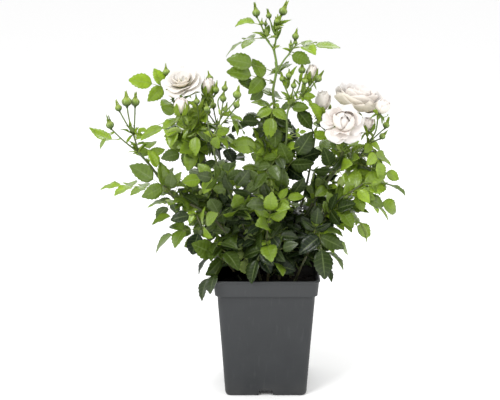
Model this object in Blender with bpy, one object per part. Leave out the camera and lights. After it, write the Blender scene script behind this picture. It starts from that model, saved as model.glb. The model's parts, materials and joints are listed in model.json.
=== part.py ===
"""Potted rose: a square nursery pot of peat, thirteen leafy canes and nine white roses, three of them open."""
import math
import random

import bmesh
import bpy
from mathutils import Matrix, Vector
from mathutils.bvhtree import BVHTree

# The pot, in metres: a square tapered container with a rim band.
POT_HEIGHT = 0.224
RIM_WIDTH = 0.190
RIM_FOOT_WIDTH = 0.182
RIM_DROP = 0.030
LIP_HEIGHT = 0.004
BODY_TOP_WIDTH = 0.173
BODY_FOOT_WIDTH = 0.147
FOOT_ROUNDING = 0.004
WALL = 0.002
CORNER_RADIUS = 0.013
CORNER_STEPS = 3
CHANNEL_WIDTH = 0.029
CHANNEL_HEIGHT = 0.010
CHANNEL_TAPER = 0.003
CENTRE_PAD = 0.060
DRAIN_RADIUS = 0.0045
DRAIN_PLACE = 0.048

# The soil and what stands in it.
SOIL_LEVEL = 0.206
ROOT_DEPTH = 0.045
GAP = 0.0003

# The leaves: blade thickness, leaf stalk width and the form of one leaflet.
BLADE_THICKNESS = 0.0008
STALK_WIDTH = 0.0016
LEAFLET_FOOT = 0.0018
LEAFLET_ASPECT = 0.66
LEAFLET_FOLD = 0.22
LEAFLET_DROOP = 0.16
SIDE_LEAFLET_ANGLE = math.radians(58)
SIDE_LEAFLET_SIZE = (0.88, 0.74)
PAIR_SPACING = 0.56
ROOT_POINTS = 2
TIP_SPACING = 0.46
TOOTHED_BLADE = 44
CLEARANCE = 0.0009

# The petals.
PETAL_THICKNESS = 0.0008

# The cups under the roses: width and number of sepals, of an open rose and of an opening one.
OPEN_CUP = (0.0046, 5)
OPENING_CUP = (0.0042, 4)
CUP_HEIGHT = 0.008

# The share of the triangles kept after the joining, in the stems and in the roses.
LIGHTENED_STEM = 0.755
LIGHTENED_ROSE = 0.85

# Which way the upper side of a leaf faces.
FACES = {
    "up": (0.0, -0.15, 1.0),
    "front": (0.0, -0.85, 0.55),
    "left": (-0.75, -0.3, 0.6),
    "right": (0.75, -0.3, 0.6),
    "back": (0.0, 0.7, 0.7),
}

# Each cane's route from the soil up, its shoots and its placed leaves, in millimetres.
# A shoot is (route, radius at its foot, radius at its end, what it carries).
# A leaf is (tip, blade length, pairs of side leaflets, way it faces, arch).
CANES = {
    "centre": {
        "cane": [(4, 2, 206), (9, 3, 290), (20, 5, 377), (19, 5, 429), (19, 5, 474), (14, 5, 519),
                 (12, 5, 546), (18, 5, 585), (13, 5, 618)],
        "radius": (4.6, 2.0),
        "shoots": [
            ([(13, 5, 618), (-1, 0, 638), (-8, -5, 658), (-17, -8, 676)], 1.7, 1.1, ("bud", 6.0, (-3, 0, 20))),
            ([(13, 5, 618), (17, 8, 637), (18, 8, 651), (26, 12, 676)], 1.7, 1.1, ("bud", 6.4, (8, 3, 20))),
            ([(17, 8, 637), (10, 3, 658), (5, 0, 672)], 1.1, 0.9, ("bud", 4.4, (-3, 0, 14))),
            ([(18, 8, 651), (17, -3, 663)], 1.1, 0.9, ("bud", 4.2, (2, -2, 14))),
            ([(-1, 0, 638), (-9, -10, 662)], 1.0, 0.9, ("bud", 3.2, (1, -2, 10))),
            ([(-1, 0, 638), (-2, 6, 658)], 1.0, 0.9, ("bud", 3.2, (1, 1, 10))),
            ([(18, 5, 578), (31, 0, 600), (41, -3, 614), (49, -5, 636)], 1.8, 1.1, ("bud", 5.2, (3, 0, 16))),
            ([(41, -3, 614), (42, -13, 626)], 1.0, 0.9, ("bud", 2.8, (0, -2, 9))),
            ([(41, -3, 614), (51, 7, 625)], 1.0, 0.9, ("bud", 2.8, (1, 2, 9))),
        ],
        "leaves": [
            ((-56, -10, 661), 36, 0, "up", 0.10), ((129, -5, 623), 44, 1, "up", 0.06),
            ((-72, 8, 604), 40, 1, "up", 0.14), ((-70, -14, 582), 44, 1, "front", 0.08),
            ((-43, -28, 566), 38, 1, "front", 0.05), ((-27, 0, 527), 36, 0, "up", 0.12),
            ((63, 0, 524), 42, 0, "up", 0.10), ((-8, -6, 508), 24, 0, "front", 0.08),
            ((-6, 14, 484), 24, 0, "up", 0.08), ((-8, -15, 477), 18, 0, "up", 0.08),
            ((31, -10, 479), 16, 0, "up", 0.08), ((-44, -15, 492), 38, 1, "up", 0.12),
            ((-66, -32, 455), 50, 1, "front", 0.10), ((98, -14, 440), 48, 1, "front", 0.10),
            ((60, 50, 470), 40, 1, "right", 0.12), ((-10, 70, 540), 38, 1, "back", 0.12),
            ((40, 62, 585), 34, 1, "back", 0.10), ((-15, 64, 430), 42, 1, "back", 0.14),
        ],
    },
    "second": {
        "cane": [(24, -22, 206), (26, -22, 290), (25, -22, 352), (30, -25, 408), (33, -25, 445),
                 (36, -25, 472), (36, -22, 506), (43, -17, 530)],
        "radius": (3.4, 1.7),
        "shoots": [
            ([(43, -17, 530), (62, -15, 537), (86, -18, 565)], 1.4, 1.1, ("bud", 5.6, (11, 0, 15))),
            ([(43, -17, 530), (34, -22, 552), (28, -24, 566)], 1.2, 0.9, ("bud", 4.4, (-2, -2, 14))),
            ([(34, -22, 552), (38, -28, 572)], 1.1, 0.9, ("bud", 4.6, (1, -2, 14))),
            ([(43, -17, 530), (46, -34, 556)], 1.2, 0.9, ("bud", 4.4, (2, -3, 13))),
            ([(43, -17, 530), (56, -10, 552), (62, -4, 576)], 1.2, 1.0, ("bud", 5.6, (0, 2, 17))),
            ([(62, -15, 537), (66, -26, 562)], 1.1, 0.9, ("bud", 4.6, (1, -2, 14))),
            ([(62, -15, 537), (76, 0, 556)], 1.2, 1.2, ("opening", "opening_rose_centre", 8.0, (4, 2, 22))),
        ],
        "leaves": [
            ((85, -26, 541), 22, 0, "front", 0.06), ((80, -34, 480), 48, 1, "front", 0.08),
            ((94, -40, 500), 38, 0, "up", 0.10), ((112, -30, 470), 30, 0, "front", 0.05),
            ((29, -54, 418), 40, 1, "front", 0.10), ((66, -62, 404), 42, 1, "front", 0.12),
            ((-8, -58, 396), 42, 1, "front", 0.12),
        ],
    },
    "left": {
        "cane": [(-26, -6, 206), (-50, -16, 262), (-92, -24, 318), (-135, -30, 348), (-163, -34, 361),
                 (-187, -38, 396), (-204, -40, 421), (-223, -40, 443)],
        "radius": (3.8, 2.0),
        "shoots": [
            ([(-223, -40, 443), (-231, -36, 472), (-238, -36, 498), (-242, -35, 524)], 1.6, 1.1,
             ("bud", 7.4, (-1, 0, 22))),
            ([(-231, -36, 472), (-230, -27, 498), (-229, -24, 522)], 1.3, 1.1, ("bud", 6.6, (1, 1, 20))),
            ([(-231, -36, 472), (-244, -44, 498), (-254, -46, 518)], 1.2, 1.0, ("bud", 5.2, (-5, 0, 16))),
            ([(-223, -40, 443), (-248, -54, 468), (-268, -60, 490)], 1.5, 1.1, ("bud", 6.0, (-5, 0, 20))),
        ],
        "leaves": [
            ((-308, -46, 492), 46, 0, "up", -0.16), ((-292, -66, 458), 26, 0, "up", 0.10),
            ((-206, -46, 484), 18, 0, "left", 0.10), ((-213, -58, 478), 20, 0, "front", 0.10),
            ((-241, -46, 424), 48, 1, "front", 0.10), ((-165, -50, 412), 34, 0, "front", 0.06),
            ((-305, -16, 368), 45, 3, "up", 0.05), ((-208, -56, 356), 40, 1, "up", 0.08),
            ((-222, -34, 440), 44, 0, "front", 0.08), ((-170, 30, 400), 40, 1, "left", 0.12),
            ((-150, 26, 330), 40, 1, "left", 0.12), ((-205, 22, 452), 36, 1, "back", 0.12),
        ],
    },
    "bloom_left": {
        "cane": [(-20, 20, 206), (-46, 16, 262), (-74, 12, 316), (-101, 14, 371), (-113, 18, 416),
                 (-127, 22, 458)],
        "radius": (3.6, 2.2),
        "shoots": [
            ([(-127, 22, 458), (-140, 18, 492), (-143, 14, 541)], 1.9, 2.0,
             ("bloom", "rose_left", (-6, -16, 30))),
            ([(-127, 22, 458), (-158, 30, 500), (-170, 32, 545), (-176, 32, 566)], 1.4, 1.0,
             ("bud", 5.8, (-2, 0, 18))),
            ([(-127, 22, 458), (-110, 14, 500), (-104, 10, 528)], 1.4, 1.2,
             ("opening", "opening_rose_bud_cluster", 9.4, (2, 0, 24))),
            ([(-110, 14, 500), (-96, 24, 540), (-99, 26, 556)], 1.1, 0.9, ("bud", 5.6, (-3, 2, 16))),
            ([(-110, 14, 500), (-90, 4, 540)], 1.1, 0.9, ("bud", 5.4, (3, 0, 18))),
            ([(-127, 22, 458), (-119, -8, 496), (-121, -27, 526)], 1.2, 1.0, ("bud", 4.8, (-1, -2, 14))),
            ([(-140, 18, 492), (-142, -20, 488), (-147, -42, 504)], 1.3, 1.3,
             ("opening", "opening_rose_left", 11.0, (-1, -4, 24))),
        ],
        "leaves": [
            ((-244, 22, 561), 42, 1, "front", 0.10), ((-224, 6, 455), 46, 1, "up", 0.10),
            ((-186, -10, 520), 28, 0, "front", 0.06), ((-150, -44, 446), 38, 1, "front", 0.08),
            ((-186, 4, 474), 32, 0, "front", 0.08), ((-120, 90, 500), 38, 1, "back", 0.12),
            ((-180, 78, 430), 42, 1, "back", 0.12), ((-140, 88, 370), 42, 1, "back", 0.14),
        ],
    },
    "mid_left": {
        "cane": [(-10, -28, 206), (-24, -36, 262), (-46, -46, 326), (-70, -54, 388), (-88, -60, 435),
                 (-94, -60, 474)],
        "radius": (3.2, 1.8),
        "shoots": [
            ([(-94, -60, 474), (-100, -64, 493), (-102, -65, 520)], 1.1, 1.0, ("bud", 4.8, (-1, 0, 14))),
            ([(-94, -60, 474), (-84, -56, 490), (-79, -55, 513), (-75, -55, 536)], 1.4, 1.0,
             ("bud", 5.0, (1, 0, 15))),
            ([(-79, -55, 513), (-84, -46, 536), (-73, -42, 552)], 1.1, 0.9, ("bud", 4.6, (2, 1, 14))),
            ([(-84, -56, 490), (-67, -52, 509), (-54, -48, 524)], 1.2, 1.0, ("bud", 5.0, (5, 1, 13))),
            ([(-79, -55, 513), (-62, -64, 530), (-52, -68, 544)], 1.2, 1.1, ("bud", 6.2, (3, -1, 18))),
        ],
        "leaves": [
            ((-83, -84, 482), 30, 0, "front", 0.05), ((-66, -50, 492), 26, 0, "front", 0.08),
            ((-60, -90, 448), 40, 1, "up", 0.12), ((-40, -60, 505), 24, 0, "up", 0.08),
            ((-145, -74, 389), 38, 1, "front", 0.08), ((-120, -104, 420), 36, 1, "front", 0.12),
            ((-56, -108, 386), 40, 1, "front", 0.12), ((-30, -86, 424), 38, 1, "front", 0.12),
        ],
    },
    "bloom_right": {
        "cane": [(22, 14, 206), (40, 13, 250), (62, 10, 297), (83, 5, 336), (105, 0, 375), (123, -5, 404),
                 (135, -12, 438)],
        "radius": (4.2, 2.6),
        "shoots": [
            ([(135, -12, 438), (139, -26, 464), (131, -42, 489)], 2.1, 2.2,
             ("bloom", "rose_front", (2, -26, 20))),
            ([(135, -12, 438), (150, 6, 466), (160, 22, 497)], 2.1, 2.3,
             ("bloom", "rose_upper", (7, -2, 32))),
            ([(135, -12, 438), (112, 8, 466), (98, 16, 496)], 1.6, 1.5,
             ("opening", "opening_rose_beside", 13.0, (3, 1, 30))),
            ([(123, -5, 404), (152, -6, 418), (171, -10, 438), (178, -11, 452), (178, -11, 468)], 1.8, 1.4,
             ("opening", "opening_rose_right", 10.6, (0, -4, 20))),
            ([(178, -11, 452), (190, -32, 478), (194, -32, 503)], 1.4, 1.4,
             ("opening", "opening_rose_far_right", 12.0, (8, -2, 20))),
            ([(178, -11, 452), (200, -2, 470), (210, 1, 478)], 1.2, 1.0, ("bud", 5.2, (6, 0, 17))),
            ([(178, -11, 452), (200, -21, 464)], 1.1, 1.0, ("bud", 5.0, (10, -2, 13))),
            ([(112, 8, 466), (94, 2, 484)], 1.1, 1.0, ("bud", 4.6, (-3, -3, 14))),
        ],
        "leaves": [
            ((92, -6, 412), 34, 1, "up", 0.10), ((100, -42, 452), 38, 1, "front", 0.10),
            ((160, -44, 436), 34, 0, "front", 0.08), ((222, -14, 413), 26, 1, "up", 0.08),
            ((158, 74, 440), 42, 1, "back", 0.12), ((210, 60, 400), 42, 1, "back", 0.12),
            ((120, 80, 490), 40, 1, "back", 0.12), ((120, 74, 380), 42, 1, "back", 0.14),
            ((150, -46, 420), 36, 0, "front", 0.08),
        ],
    },
    "right": {
        "cane": [(44, -12, 206), (60, -18, 250), (82, -24, 297), (113, -36, 340), (132, -42, 362),
                 (152, -47, 377), (168, -51, 390)],
        "radius": (3.0, 1.5),
        "shoots": [],
        "leaves": [
            ((138, -82, 402), 38, 0, "front", 0.08), ((212, -26, 404), 44, 1, "front", 0.10),
            ((256, -36, 372), 42, 1, "up", 0.10), ((157, -78, 354), 38, 1, "front", 0.08),
            ((226, -62, 333), 48, 1, "up", 0.12), ((174, -70, 338), 40, 1, "up", 0.10),
            ((182, -66, 292), 42, 1, "right", 0.14), ((150, -90, 320), 36, 0, "front", 0.10),
            ((192, 16, 350), 42, 1, "right", 0.12), ((170, 24, 300), 42, 1, "right", 0.14),
        ],
    },
    "low_left": {
        "cane": [(-46, -28, 206), (-66, -42, 238), (-90, -54, 270), (-110, -60, 306), (-122, -62, 336)],
        "radius": (2.8, 1.4),
        "shoots": [],
        "leaves": [
            ((-201, -64, 319), 36, 0, "left", 0.12), ((-168, -78, 332), 34, 0, "front", 0.12),
            ((-196, -60, 266), 44, 1, "left", 0.20), ((-134, -100, 286), 52, 1, "front", 0.06),
            ((-131, -66, 262), 44, 0, "front", 0.14), ((-48, -112, 250), 42, 1, "front", 0.14),
            ((-88, -112, 200), 44, 0, "left", 0.10), ((-114, -88, 186), 40, 0, "left", 0.16),
            ((-122, -62, 226), 36, 0, "left", 0.14), ((-166, -40, 300), 40, 1, "left", 0.14),
            ((-60, -120, 300), 40, 1, "front", 0.12), ((-84, -112, 352), 38, 1, "front", 0.10),
        ],
    },
    "low_right": {
        "cane": [(50, -48, 206), (62, -58, 240), (78, -68, 280), (90, -72, 320), (98, -72, 350)],
        "radius": (2.8, 1.4),
        "shoots": [],
        "leaves": [
            ((101, -122, 236), 52, 1, "front", 0.10), ((137, -98, 248), 44, 0, "right", 0.12),
            ((133, -92, 298), 40, 0, "right", 0.12), ((114, -104, 226), 36, 0, "right", 0.14),
            ((90, -118, 352), 38, 1, "front", 0.10), ((148, -60, 262), 40, 1, "right", 0.14),
        ],
    },
    "low_front": {
        "cane": [(2, -56, 206), (4, -64, 246), (0, -70, 290), (6, -70, 336), (12, -66, 380)],
        "radius": (2.6, 1.3),
        "shoots": [],
        "leaves": [
            ((9, -104, 388), 38, 1, "front", 0.06), ((-4, -112, 358), 38, 0, "front", 0.08),
            ((-34, -104, 366), 38, 0, "front", 0.10), ((-18, -118, 334), 42, 0, "front", 0.08),
            ((40, -112, 352), 36, 0, "front", 0.10), ((9, -122, 268), 44, 0, "front", 0.08),
            ((30, -108, 240), 40, 0, "right", 0.12), ((-26, -100, 222), 42, 1, "front", 0.12),
            ((49, -88, 240), 38, 0, "front", 0.12), ((30, -120, 312), 42, 1, "front", 0.12),
        ],
    },
    "back_left": {
        "cane": [(-38, 46, 206), (-54, 62, 262), (-70, 82, 330), (-84, 100, 400), (-90, 110, 460)],
        "radius": (3.4, 1.6),
        "shoots": [
            ([(-90, 110, 460), (-96, 118, 490)], 1.2, 1.0, ("bud", 5.4, (-3, 3, 18))),
            ([(-90, 110, 460), (-76, 118, 484)], 1.1, 0.9, ("bud", 4.6, (4, 3, 14))),
            ([(-90, 110, 460), (-104, 104, 482)], 1.1, 0.9, ("bud", 4.6, (-6, -1, 14))),
        ],
        "leaves": [
            ((-168, 122, 420), 42, 1, "left", 0.12), ((-110, 186, 420), 44, 1, "back", 0.12),
            ((-40, 176, 380), 44, 1, "back", 0.12), ((-150, 118, 330), 44, 2, "left", 0.14),
            ((-60, 160, 290), 44, 1, "back", 0.14), ((-128, 96, 270), 42, 1, "left", 0.16),
            ((-30, 130, 460), 38, 1, "back", 0.12), ((-80, 132, 236), 40, 1, "back", 0.16),
        ],
    },
    "back_right": {
        "cane": [(38, 46, 206), (52, 62, 262), (70, 82, 326), (84, 98, 388), (92, 108, 440)],
        "radius": (3.4, 1.6),
        "shoots": [
            ([(92, 108, 440), (98, 118, 468)], 1.2, 1.0, ("bud", 5.2, (3, 3, 17))),
            ([(92, 108, 440), (82, 100, 464)], 1.1, 0.9, ("bud", 4.4, (-4, -2, 13))),
        ],
        "leaves": [
            ((166, 126, 400), 44, 1, "right", 0.12), ((110, 184, 400), 44, 1, "back", 0.12),
            ((40, 172, 372), 44, 1, "back", 0.12), ((154, 112, 320), 44, 2, "right", 0.14),
            ((64, 162, 286), 44, 1, "back", 0.14), ((130, 92, 262), 42, 1, "right", 0.16),
            ((34, 128, 440), 38, 1, "back", 0.12), ((84, 132, 232), 40, 1, "back", 0.16),
        ],
    },
    "back_centre": {
        "cane": [(0, 58, 206), (-2, 74, 262), (0, 92, 322), (4, 106, 380)],
        "radius": (3.0, 1.5),
        "shoots": [],
        "leaves": [
            ((-20, 180, 340), 44, 1, "back", 0.12), ((36, 176, 318), 42, 1, "back", 0.12),
            ((0, 154, 260), 42, 1, "back", 0.14), ((-44, 130, 330), 40, 1, "back", 0.12),
            ((4, 160, 426), 40, 1, "back", 0.12), ((6, 118, 222), 38, 1, "back", 0.16),
        ],
    },
}

# The roses: rings of petals from the outside in, as (petals, profile of (reach, height) in mm, half angle).
ROSES = {
    "rose_upper": {"core": (6.5, 38), "turn": 10, "rings": [
        (5, [(3, 4), (31, 9), (46, 29)], 43), (4, [(3, 7), (27, 16), (38, 36)], 52),
        (3, [(2, 10), (17, 23), (23, 41)], 66)]},
    "rose_front": {"core": (7.0, 31), "turn": 30, "rings": [
        (5, [(3, 3), (25, 6), (37, 3)], 42), (4, [(3, 6), (20, 15), (28, 20)], 52),
        (3, [(2, 9), (16, 20), (12, 33)], 66)]},
    "rose_left": {"core": (6.5, 18), "turn": 50, "rings": [
        (5, [(3, 3), (22, 7), (37, 9)], 43), (4, [(3, 6), (17, 12), (27, 16)], 52),
        (3, [(2, 9), (10, 15), (14, 21)], 66)]},
}

# The small turns tried in order until a leaf is clear: yaw, pitch, roll in degrees and blade scale.
PLACED_TRIES = [(0, 0, 0, 1.0), (0, 6, 0, 1.0), (0, -6, 0, 1.0), (8, 0, 0, 1.0), (-8, 0, 0, 1.0),
                (0, 0, 25, 1.0), (0, 0, -25, 1.0), (8, 6, 20, 0.92), (-8, 6, -20, 0.92), (8, -6, -20, 0.92),
                (-8, -6, 20, 0.92), (0, 12, 0, 0.85), (0, -12, 0, 0.85), (15, 0, 0, 0.85), (-15, 0, 0, 0.85),
                (0, 0, 50, 0.85), (0, 0, -50, 0.85), (20, 10, 0, 0.8), (-20, 10, 0, 0.8), (0, 18, 30, 0.8),
                (22, -12, 0, 0.75), (-22, -12, 0, 0.75)]


def millimetres(point):
    return Vector(point) * 0.001


def plant_collection(name):
    collection = bpy.data.collections.new(name)
    bpy.context.scene.collection.children.link(collection)
    return collection


def plain_material(name, colour, roughness, metallic=0.0):
    material = bpy.data.materials.new(name)
    material.use_nodes = True
    shader = material.node_tree.nodes["Principled BSDF"]
    shader.inputs["Base Color"].default_value = (*colour, 1.0)
    shader.inputs["Roughness"].default_value = roughness
    shader.inputs["Metallic"].default_value = metallic
    material.diffuse_color = (*colour, 1.0)
    return material


def give_material(piece, material):
    piece.data.materials.clear()
    piece.data.materials.append(material)


def new_object(name, mesh, collection):
    piece = bpy.data.objects.new(name, mesh)
    collection.objects.link(piece)
    return piece


def mesh_from(name, build):
    """A mesh made in bmesh by the function build, with its faces turned outwards."""
    shape = bmesh.new()
    build(shape)
    bmesh.ops.recalc_face_normals(shape, faces=shape.faces[:])
    mesh = bpy.data.meshes.new(name)
    shape.to_mesh(mesh)
    shape.free()
    return mesh


def apply_change(piece, change):
    """Gives the piece the mesh that its modifier makes, without the modifier."""
    result = bpy.data.meshes.new_from_object(piece.evaluated_get(bpy.context.evaluated_depsgraph_get()))
    piece.modifiers.remove(change)
    old = piece.data
    piece.data = result
    bpy.data.meshes.remove(old)


def combine(target, other, operation, solver="EXACT"):
    """Joins or cuts the target with an object or a collection, and applies it."""
    change = target.modifiers.new("combine", "BOOLEAN")
    change.operation = operation
    change.solver = solver
    if isinstance(other, bpy.types.Collection):
        change.operand_type = "COLLECTION"
        change.collection = other
    else:
        change.object = other
    apply_change(target, change)


def remove_all(objects):
    for piece in list(objects):
        bpy.data.objects.remove(piece)


# The pot.

def square_ring(half, radius, height):
    """Points round a square with rounded corners, anticlockwise."""
    points = []
    for corner in range(4):
        middle = math.pi / 4 + corner * math.pi / 2
        centre_x = (half - radius) * (1 if math.cos(middle) > 0 else -1)
        centre_y = (half - radius) * (1 if math.sin(middle) > 0 else -1)
        for step in range(CORNER_STEPS + 1):
            angle = corner * math.pi / 2 + step / CORNER_STEPS * math.pi / 2
            out = Vector((math.cos(angle), math.sin(angle), 0.0)) * radius
            points.append(Vector((centre_x, centre_y, height)) + out)
    return points


def square_loft(name, sections):
    """A closed solid through rounded squares, given as (half width, height) from the bottom up."""
    def build(shape):
        rings = []
        for half, height in sections:
            radius = max(CORNER_RADIUS - (RIM_WIDTH / 2 - half) * 0.2, 0.004)
            rings.append([shape.verts.new(point) for point in square_ring(half, radius, height)])
        for lower, upper in zip(rings, rings[1:]):
            for index, corner in enumerate(lower):
                after = (index + 1) % len(lower)
                shape.faces.new((corner, lower[after], upper[after], upper[index]))
        shape.faces.new(rings[0][::-1])
        shape.faces.new(rings[-1])
    return mesh_from(name, build)


def cavity_sections(gap, top):
    """The space inside the wall, smaller all round by the gap, up to the height top."""
    inset = WALL + gap
    foot = BODY_FOOT_WIDTH / 2 - inset
    shoulder = POT_HEIGHT - RIM_DROP
    rim_foot = RIM_FOOT_WIDTH / 2 - inset
    rim_top = RIM_WIDTH / 2 - 0.0015 - inset
    ledge = shoulder + WALL + gap * 2
    sections = [(foot - FOOT_ROUNDING / 2, inset), (foot, inset + FOOT_ROUNDING),
                (BODY_TOP_WIDTH / 2 - inset, shoulder + gap), (rim_foot, ledge)]
    share = (top - ledge) / (POT_HEIGHT - ledge)
    sections.append((rim_foot + (rim_top - rim_foot) * share, top))
    return sections


def channel_blocks(grow, collection):
    """Four blocks under the base, one from each side's foot notch to the middle pad."""
    reach = BODY_FOOT_WIDTH / 2 + 0.010
    inner = CENTRE_PAD / 2 - grow
    low = -0.005
    high = CHANNEL_HEIGHT + grow
    blocks = []
    for side in range(4):
        bpy.ops.mesh.primitive_cube_add(size=1.0)
        block = bpy.context.object
        for users in list(block.users_collection):
            users.objects.unlink(block)
        collection.objects.link(block)
        for vertex in block.data.vertices:
            half = CHANNEL_WIDTH / 2 + grow - (CHANNEL_TAPER if vertex.co.z > 0 else 0.0)
            vertex.co.x = inner if vertex.co.x < 0 else reach
            vertex.co.y = half if vertex.co.y > 0 else -half
            vertex.co.z = high if vertex.co.z > 0 else low
        block.data.transform(Matrix.Rotation(side * math.pi / 2, 4, "Z"))
        block.display_type = "WIRE"
        block.hide_render = True
        blocks.append(block)
    return blocks


def cavity(name, gap, top, collection):
    space = new_object(name, square_loft(name, cavity_sections(gap, top)), collection)
    for block in channel_blocks(WALL + gap, collection):
        combine(space, block, "DIFFERENCE")
        bpy.data.objects.remove(block)
    return space


def make_pot(collection, cutters):
    foot = BODY_FOOT_WIDTH / 2
    shoulder = POT_HEIGHT - RIM_DROP
    lip_foot = RIM_WIDTH / 2 - 0.0018
    outside = [(foot - FOOT_ROUNDING, 0.0), (foot - FOOT_ROUNDING * 0.2, FOOT_ROUNDING * 0.55),
               (foot + 0.0003, FOOT_ROUNDING * 1.6), (BODY_TOP_WIDTH / 2, shoulder),
               (RIM_FOOT_WIDTH / 2, shoulder), (lip_foot, POT_HEIGHT - LIP_HEIGHT),
               (RIM_WIDTH / 2, POT_HEIGHT - LIP_HEIGHT * 0.75), (RIM_WIDTH / 2, POT_HEIGHT - LIP_HEIGHT * 0.2),
               (RIM_WIDTH / 2 - 0.0008, POT_HEIGHT)]
    pot = new_object("pot", square_loft("pot", outside), collection)
    for block in channel_blocks(0.0, cutters):
        combine(pot, block, "DIFFERENCE")
        bpy.data.objects.remove(block)
    inside = cavity("pot_inside", 0.0, POT_HEIGHT + 0.004, cutters)
    combine(pot, inside, "DIFFERENCE")
    bpy.data.objects.remove(inside)
    for side in range(4):
        place = Vector((DRAIN_PLACE, 0.0, CHANNEL_HEIGHT))
        place.rotate(Matrix.Rotation(side * math.pi / 2, 3, "Z"))
        bpy.ops.mesh.primitive_cylinder_add(vertices=8, radius=DRAIN_RADIUS, depth=0.012, location=place)
        drill = bpy.context.object
        combine(pot, drill, "DIFFERENCE")
        bpy.data.objects.remove(drill)
    give_material(pot, plain_material("grey_plastic", (0.075, 0.079, 0.082), 0.5))
    return pot


# Canes and shoots.

def tube(name, points, radii, sides, collection):
    """A welded mesh tube through the points, with a radius at each."""
    curve = bpy.data.curves.new(name, "CURVE")
    curve.dimensions = "3D"
    curve.bevel_depth = 1.0
    curve.bevel_resolution = (sides - 4) // 2
    curve.use_fill_caps = True
    spline = curve.splines.new("POLY")
    spline.points.add(len(points) - 1)
    for place, point, radius in zip(spline.points, points, radii):
        place.co = (*point, 1.0)
        place.radius = radius
    guide = new_object(name + "_guide", curve, collection)
    mesh = bpy.data.meshes.new_from_object(guide.evaluated_get(bpy.context.evaluated_depsgraph_get()))
    bpy.data.objects.remove(guide)
    shape = bmesh.new()
    shape.from_mesh(mesh)
    bmesh.ops.remove_doubles(shape, verts=shape.verts[:], dist=0.00001)
    bmesh.ops.recalc_face_normals(shape, faces=shape.faces[:])
    shape.to_mesh(mesh)
    shape.free()
    return new_object(name, mesh, collection)


def along(count, first, last):
    return [first + (last - first) * index / (count - 1) for index in range(count)]


def turned(name, profile, sides, seat, axis, turn, collection):
    """A closed turned solid: the profile of (radius, height) points spun round the axis from the seat."""
    def build(shape):
        verts = [shape.verts.new((radius, 0.0, height)) for radius, height in profile]
        edges = [shape.edges.new(pair) for pair in zip(verts, verts[1:])]
        bmesh.ops.spin(shape, geom=verts + edges, cent=(0, 0, 0), axis=(0, 0, 1), angle=math.tau, steps=sides,
                       use_merge=False)
        bmesh.ops.remove_doubles(shape, verts=shape.verts[:], dist=0.000001)
    mesh = mesh_from(name, build)
    mesh.transform(Matrix.Translation(seat) @ turned_frame(axis, turn).to_4x4())
    return new_object(name, mesh, collection)


def turned_frame(axis, turn=0.0):
    """A turn of the axes that takes +Z to the axis."""
    upward = axis.normalized()
    helper = Vector((0, 0, 1)) if abs(upward.z) < 0.95 else Vector((0, 1, 0))
    across = helper.cross(upward).normalized()
    frame = Matrix((across, upward.cross(across), upward)).transposed()
    return frame @ Matrix.Rotation(turn, 3, "Z")


def thick_sheet(name, points, normals, triangles, thickness, collection):
    """A closed thin solid: the same triangles on both faces, and a strip round the edge."""
    count = len(points)
    lower = [point - normal * thickness for point, normal in zip(points, normals)]
    faces = list(triangles) + [(a + count, c + count, b + count) for a, b, c in triangles]
    edges = {(a, b) for triangle in triangles for a, b in zip(triangle, triangle[1:] + triangle[:1])}
    for a, b in sorted(edges):
        if (b, a) not in edges:
            faces += [(b, a, a + count), (b, a + count, b + count)]
    mesh = bpy.data.meshes.new(name)
    mesh.from_pydata(list(points) + lower, [], faces)
    return new_object(name, mesh, collection)


def green_bud(name, seat, tip, radius, collection):
    """A round green bud on its hip, with its long sepals drawn to a point."""
    axis = tip - seat
    length = axis.length + radius * 1.2
    profile = [(0.0, -0.002), (radius * 0.40, -0.002), (radius, radius * 1.5), (radius * 0.42, radius * 2.7),
               (0.0, max(length, radius * 3.4))]
    return turned(name, profile, 5 if radius > 0.0045 else 4, seat, axis, 0.4, collection)


def green_cup(name, seat, axis, width, sepals, collection):
    """The hip under a rose, ending in a flat seat, with its sepals turned back."""
    profile = [(0.0, -0.003), (0.0016, -0.003), (width * 0.8, 0.003), (width, CUP_HEIGHT), (0.0, CUP_HEIGHT)]
    pieces = [turned(name, profile, sepals, seat, axis, 0.0, collection)]
    frame = turned_frame(axis)
    up = axis.normalized()
    for index in range(sepals):
        angle = (index + 0.5) * math.tau / sepals
        out = frame @ Vector((math.cos(angle), math.sin(angle), 0.0))
        side = frame @ Vector((-math.sin(angle), math.cos(angle), 0.0))
        root = seat + up * 0.0060 + out * width * 0.4
        end = seat - up * 0.006 + out * (width + 0.013)
        points = [root - side * 0.0026, root + side * 0.0026, end]
        normal = (up + out * 0.6).normalized()
        pieces.append(thick_sheet(f"{name}_sepal_{index}", points, [normal] * 3, [(0, 2, 1)], BLADE_THICKNESS,
                                  collection))
    return pieces


def cane_tips(data):
    """All stretches of a cane and its shoots as (points, first radius, last radius) in metres."""
    first, last = data["radius"]
    root = millimetres(data["cane"][0])
    heading = (millimetres(data["cane"][1]) - root).normalized()
    points = [root - heading * ROOT_DEPTH] + [millimetres(point) for point in data["cane"]]
    stretches = [(points, first * 0.001, last * 0.001)]
    for route, start, end, _load in data["shoots"]:
        stretches.append(([millimetres(point) for point in route], start * 0.001, end * 0.001))
    return stretches


# Leaves.

def leaflet_outline(toothed):
    """Half outline of a leaflet from its foot to its tip, as (distance along, half width) shares."""
    if toothed:
        return [(0.20, 0.42), (0.45, 0.52), (0.50, 0.45), (0.72, 0.41), (0.76, 0.33)]
    return [(0.26, 0.45), (0.66, 0.41)]


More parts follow.
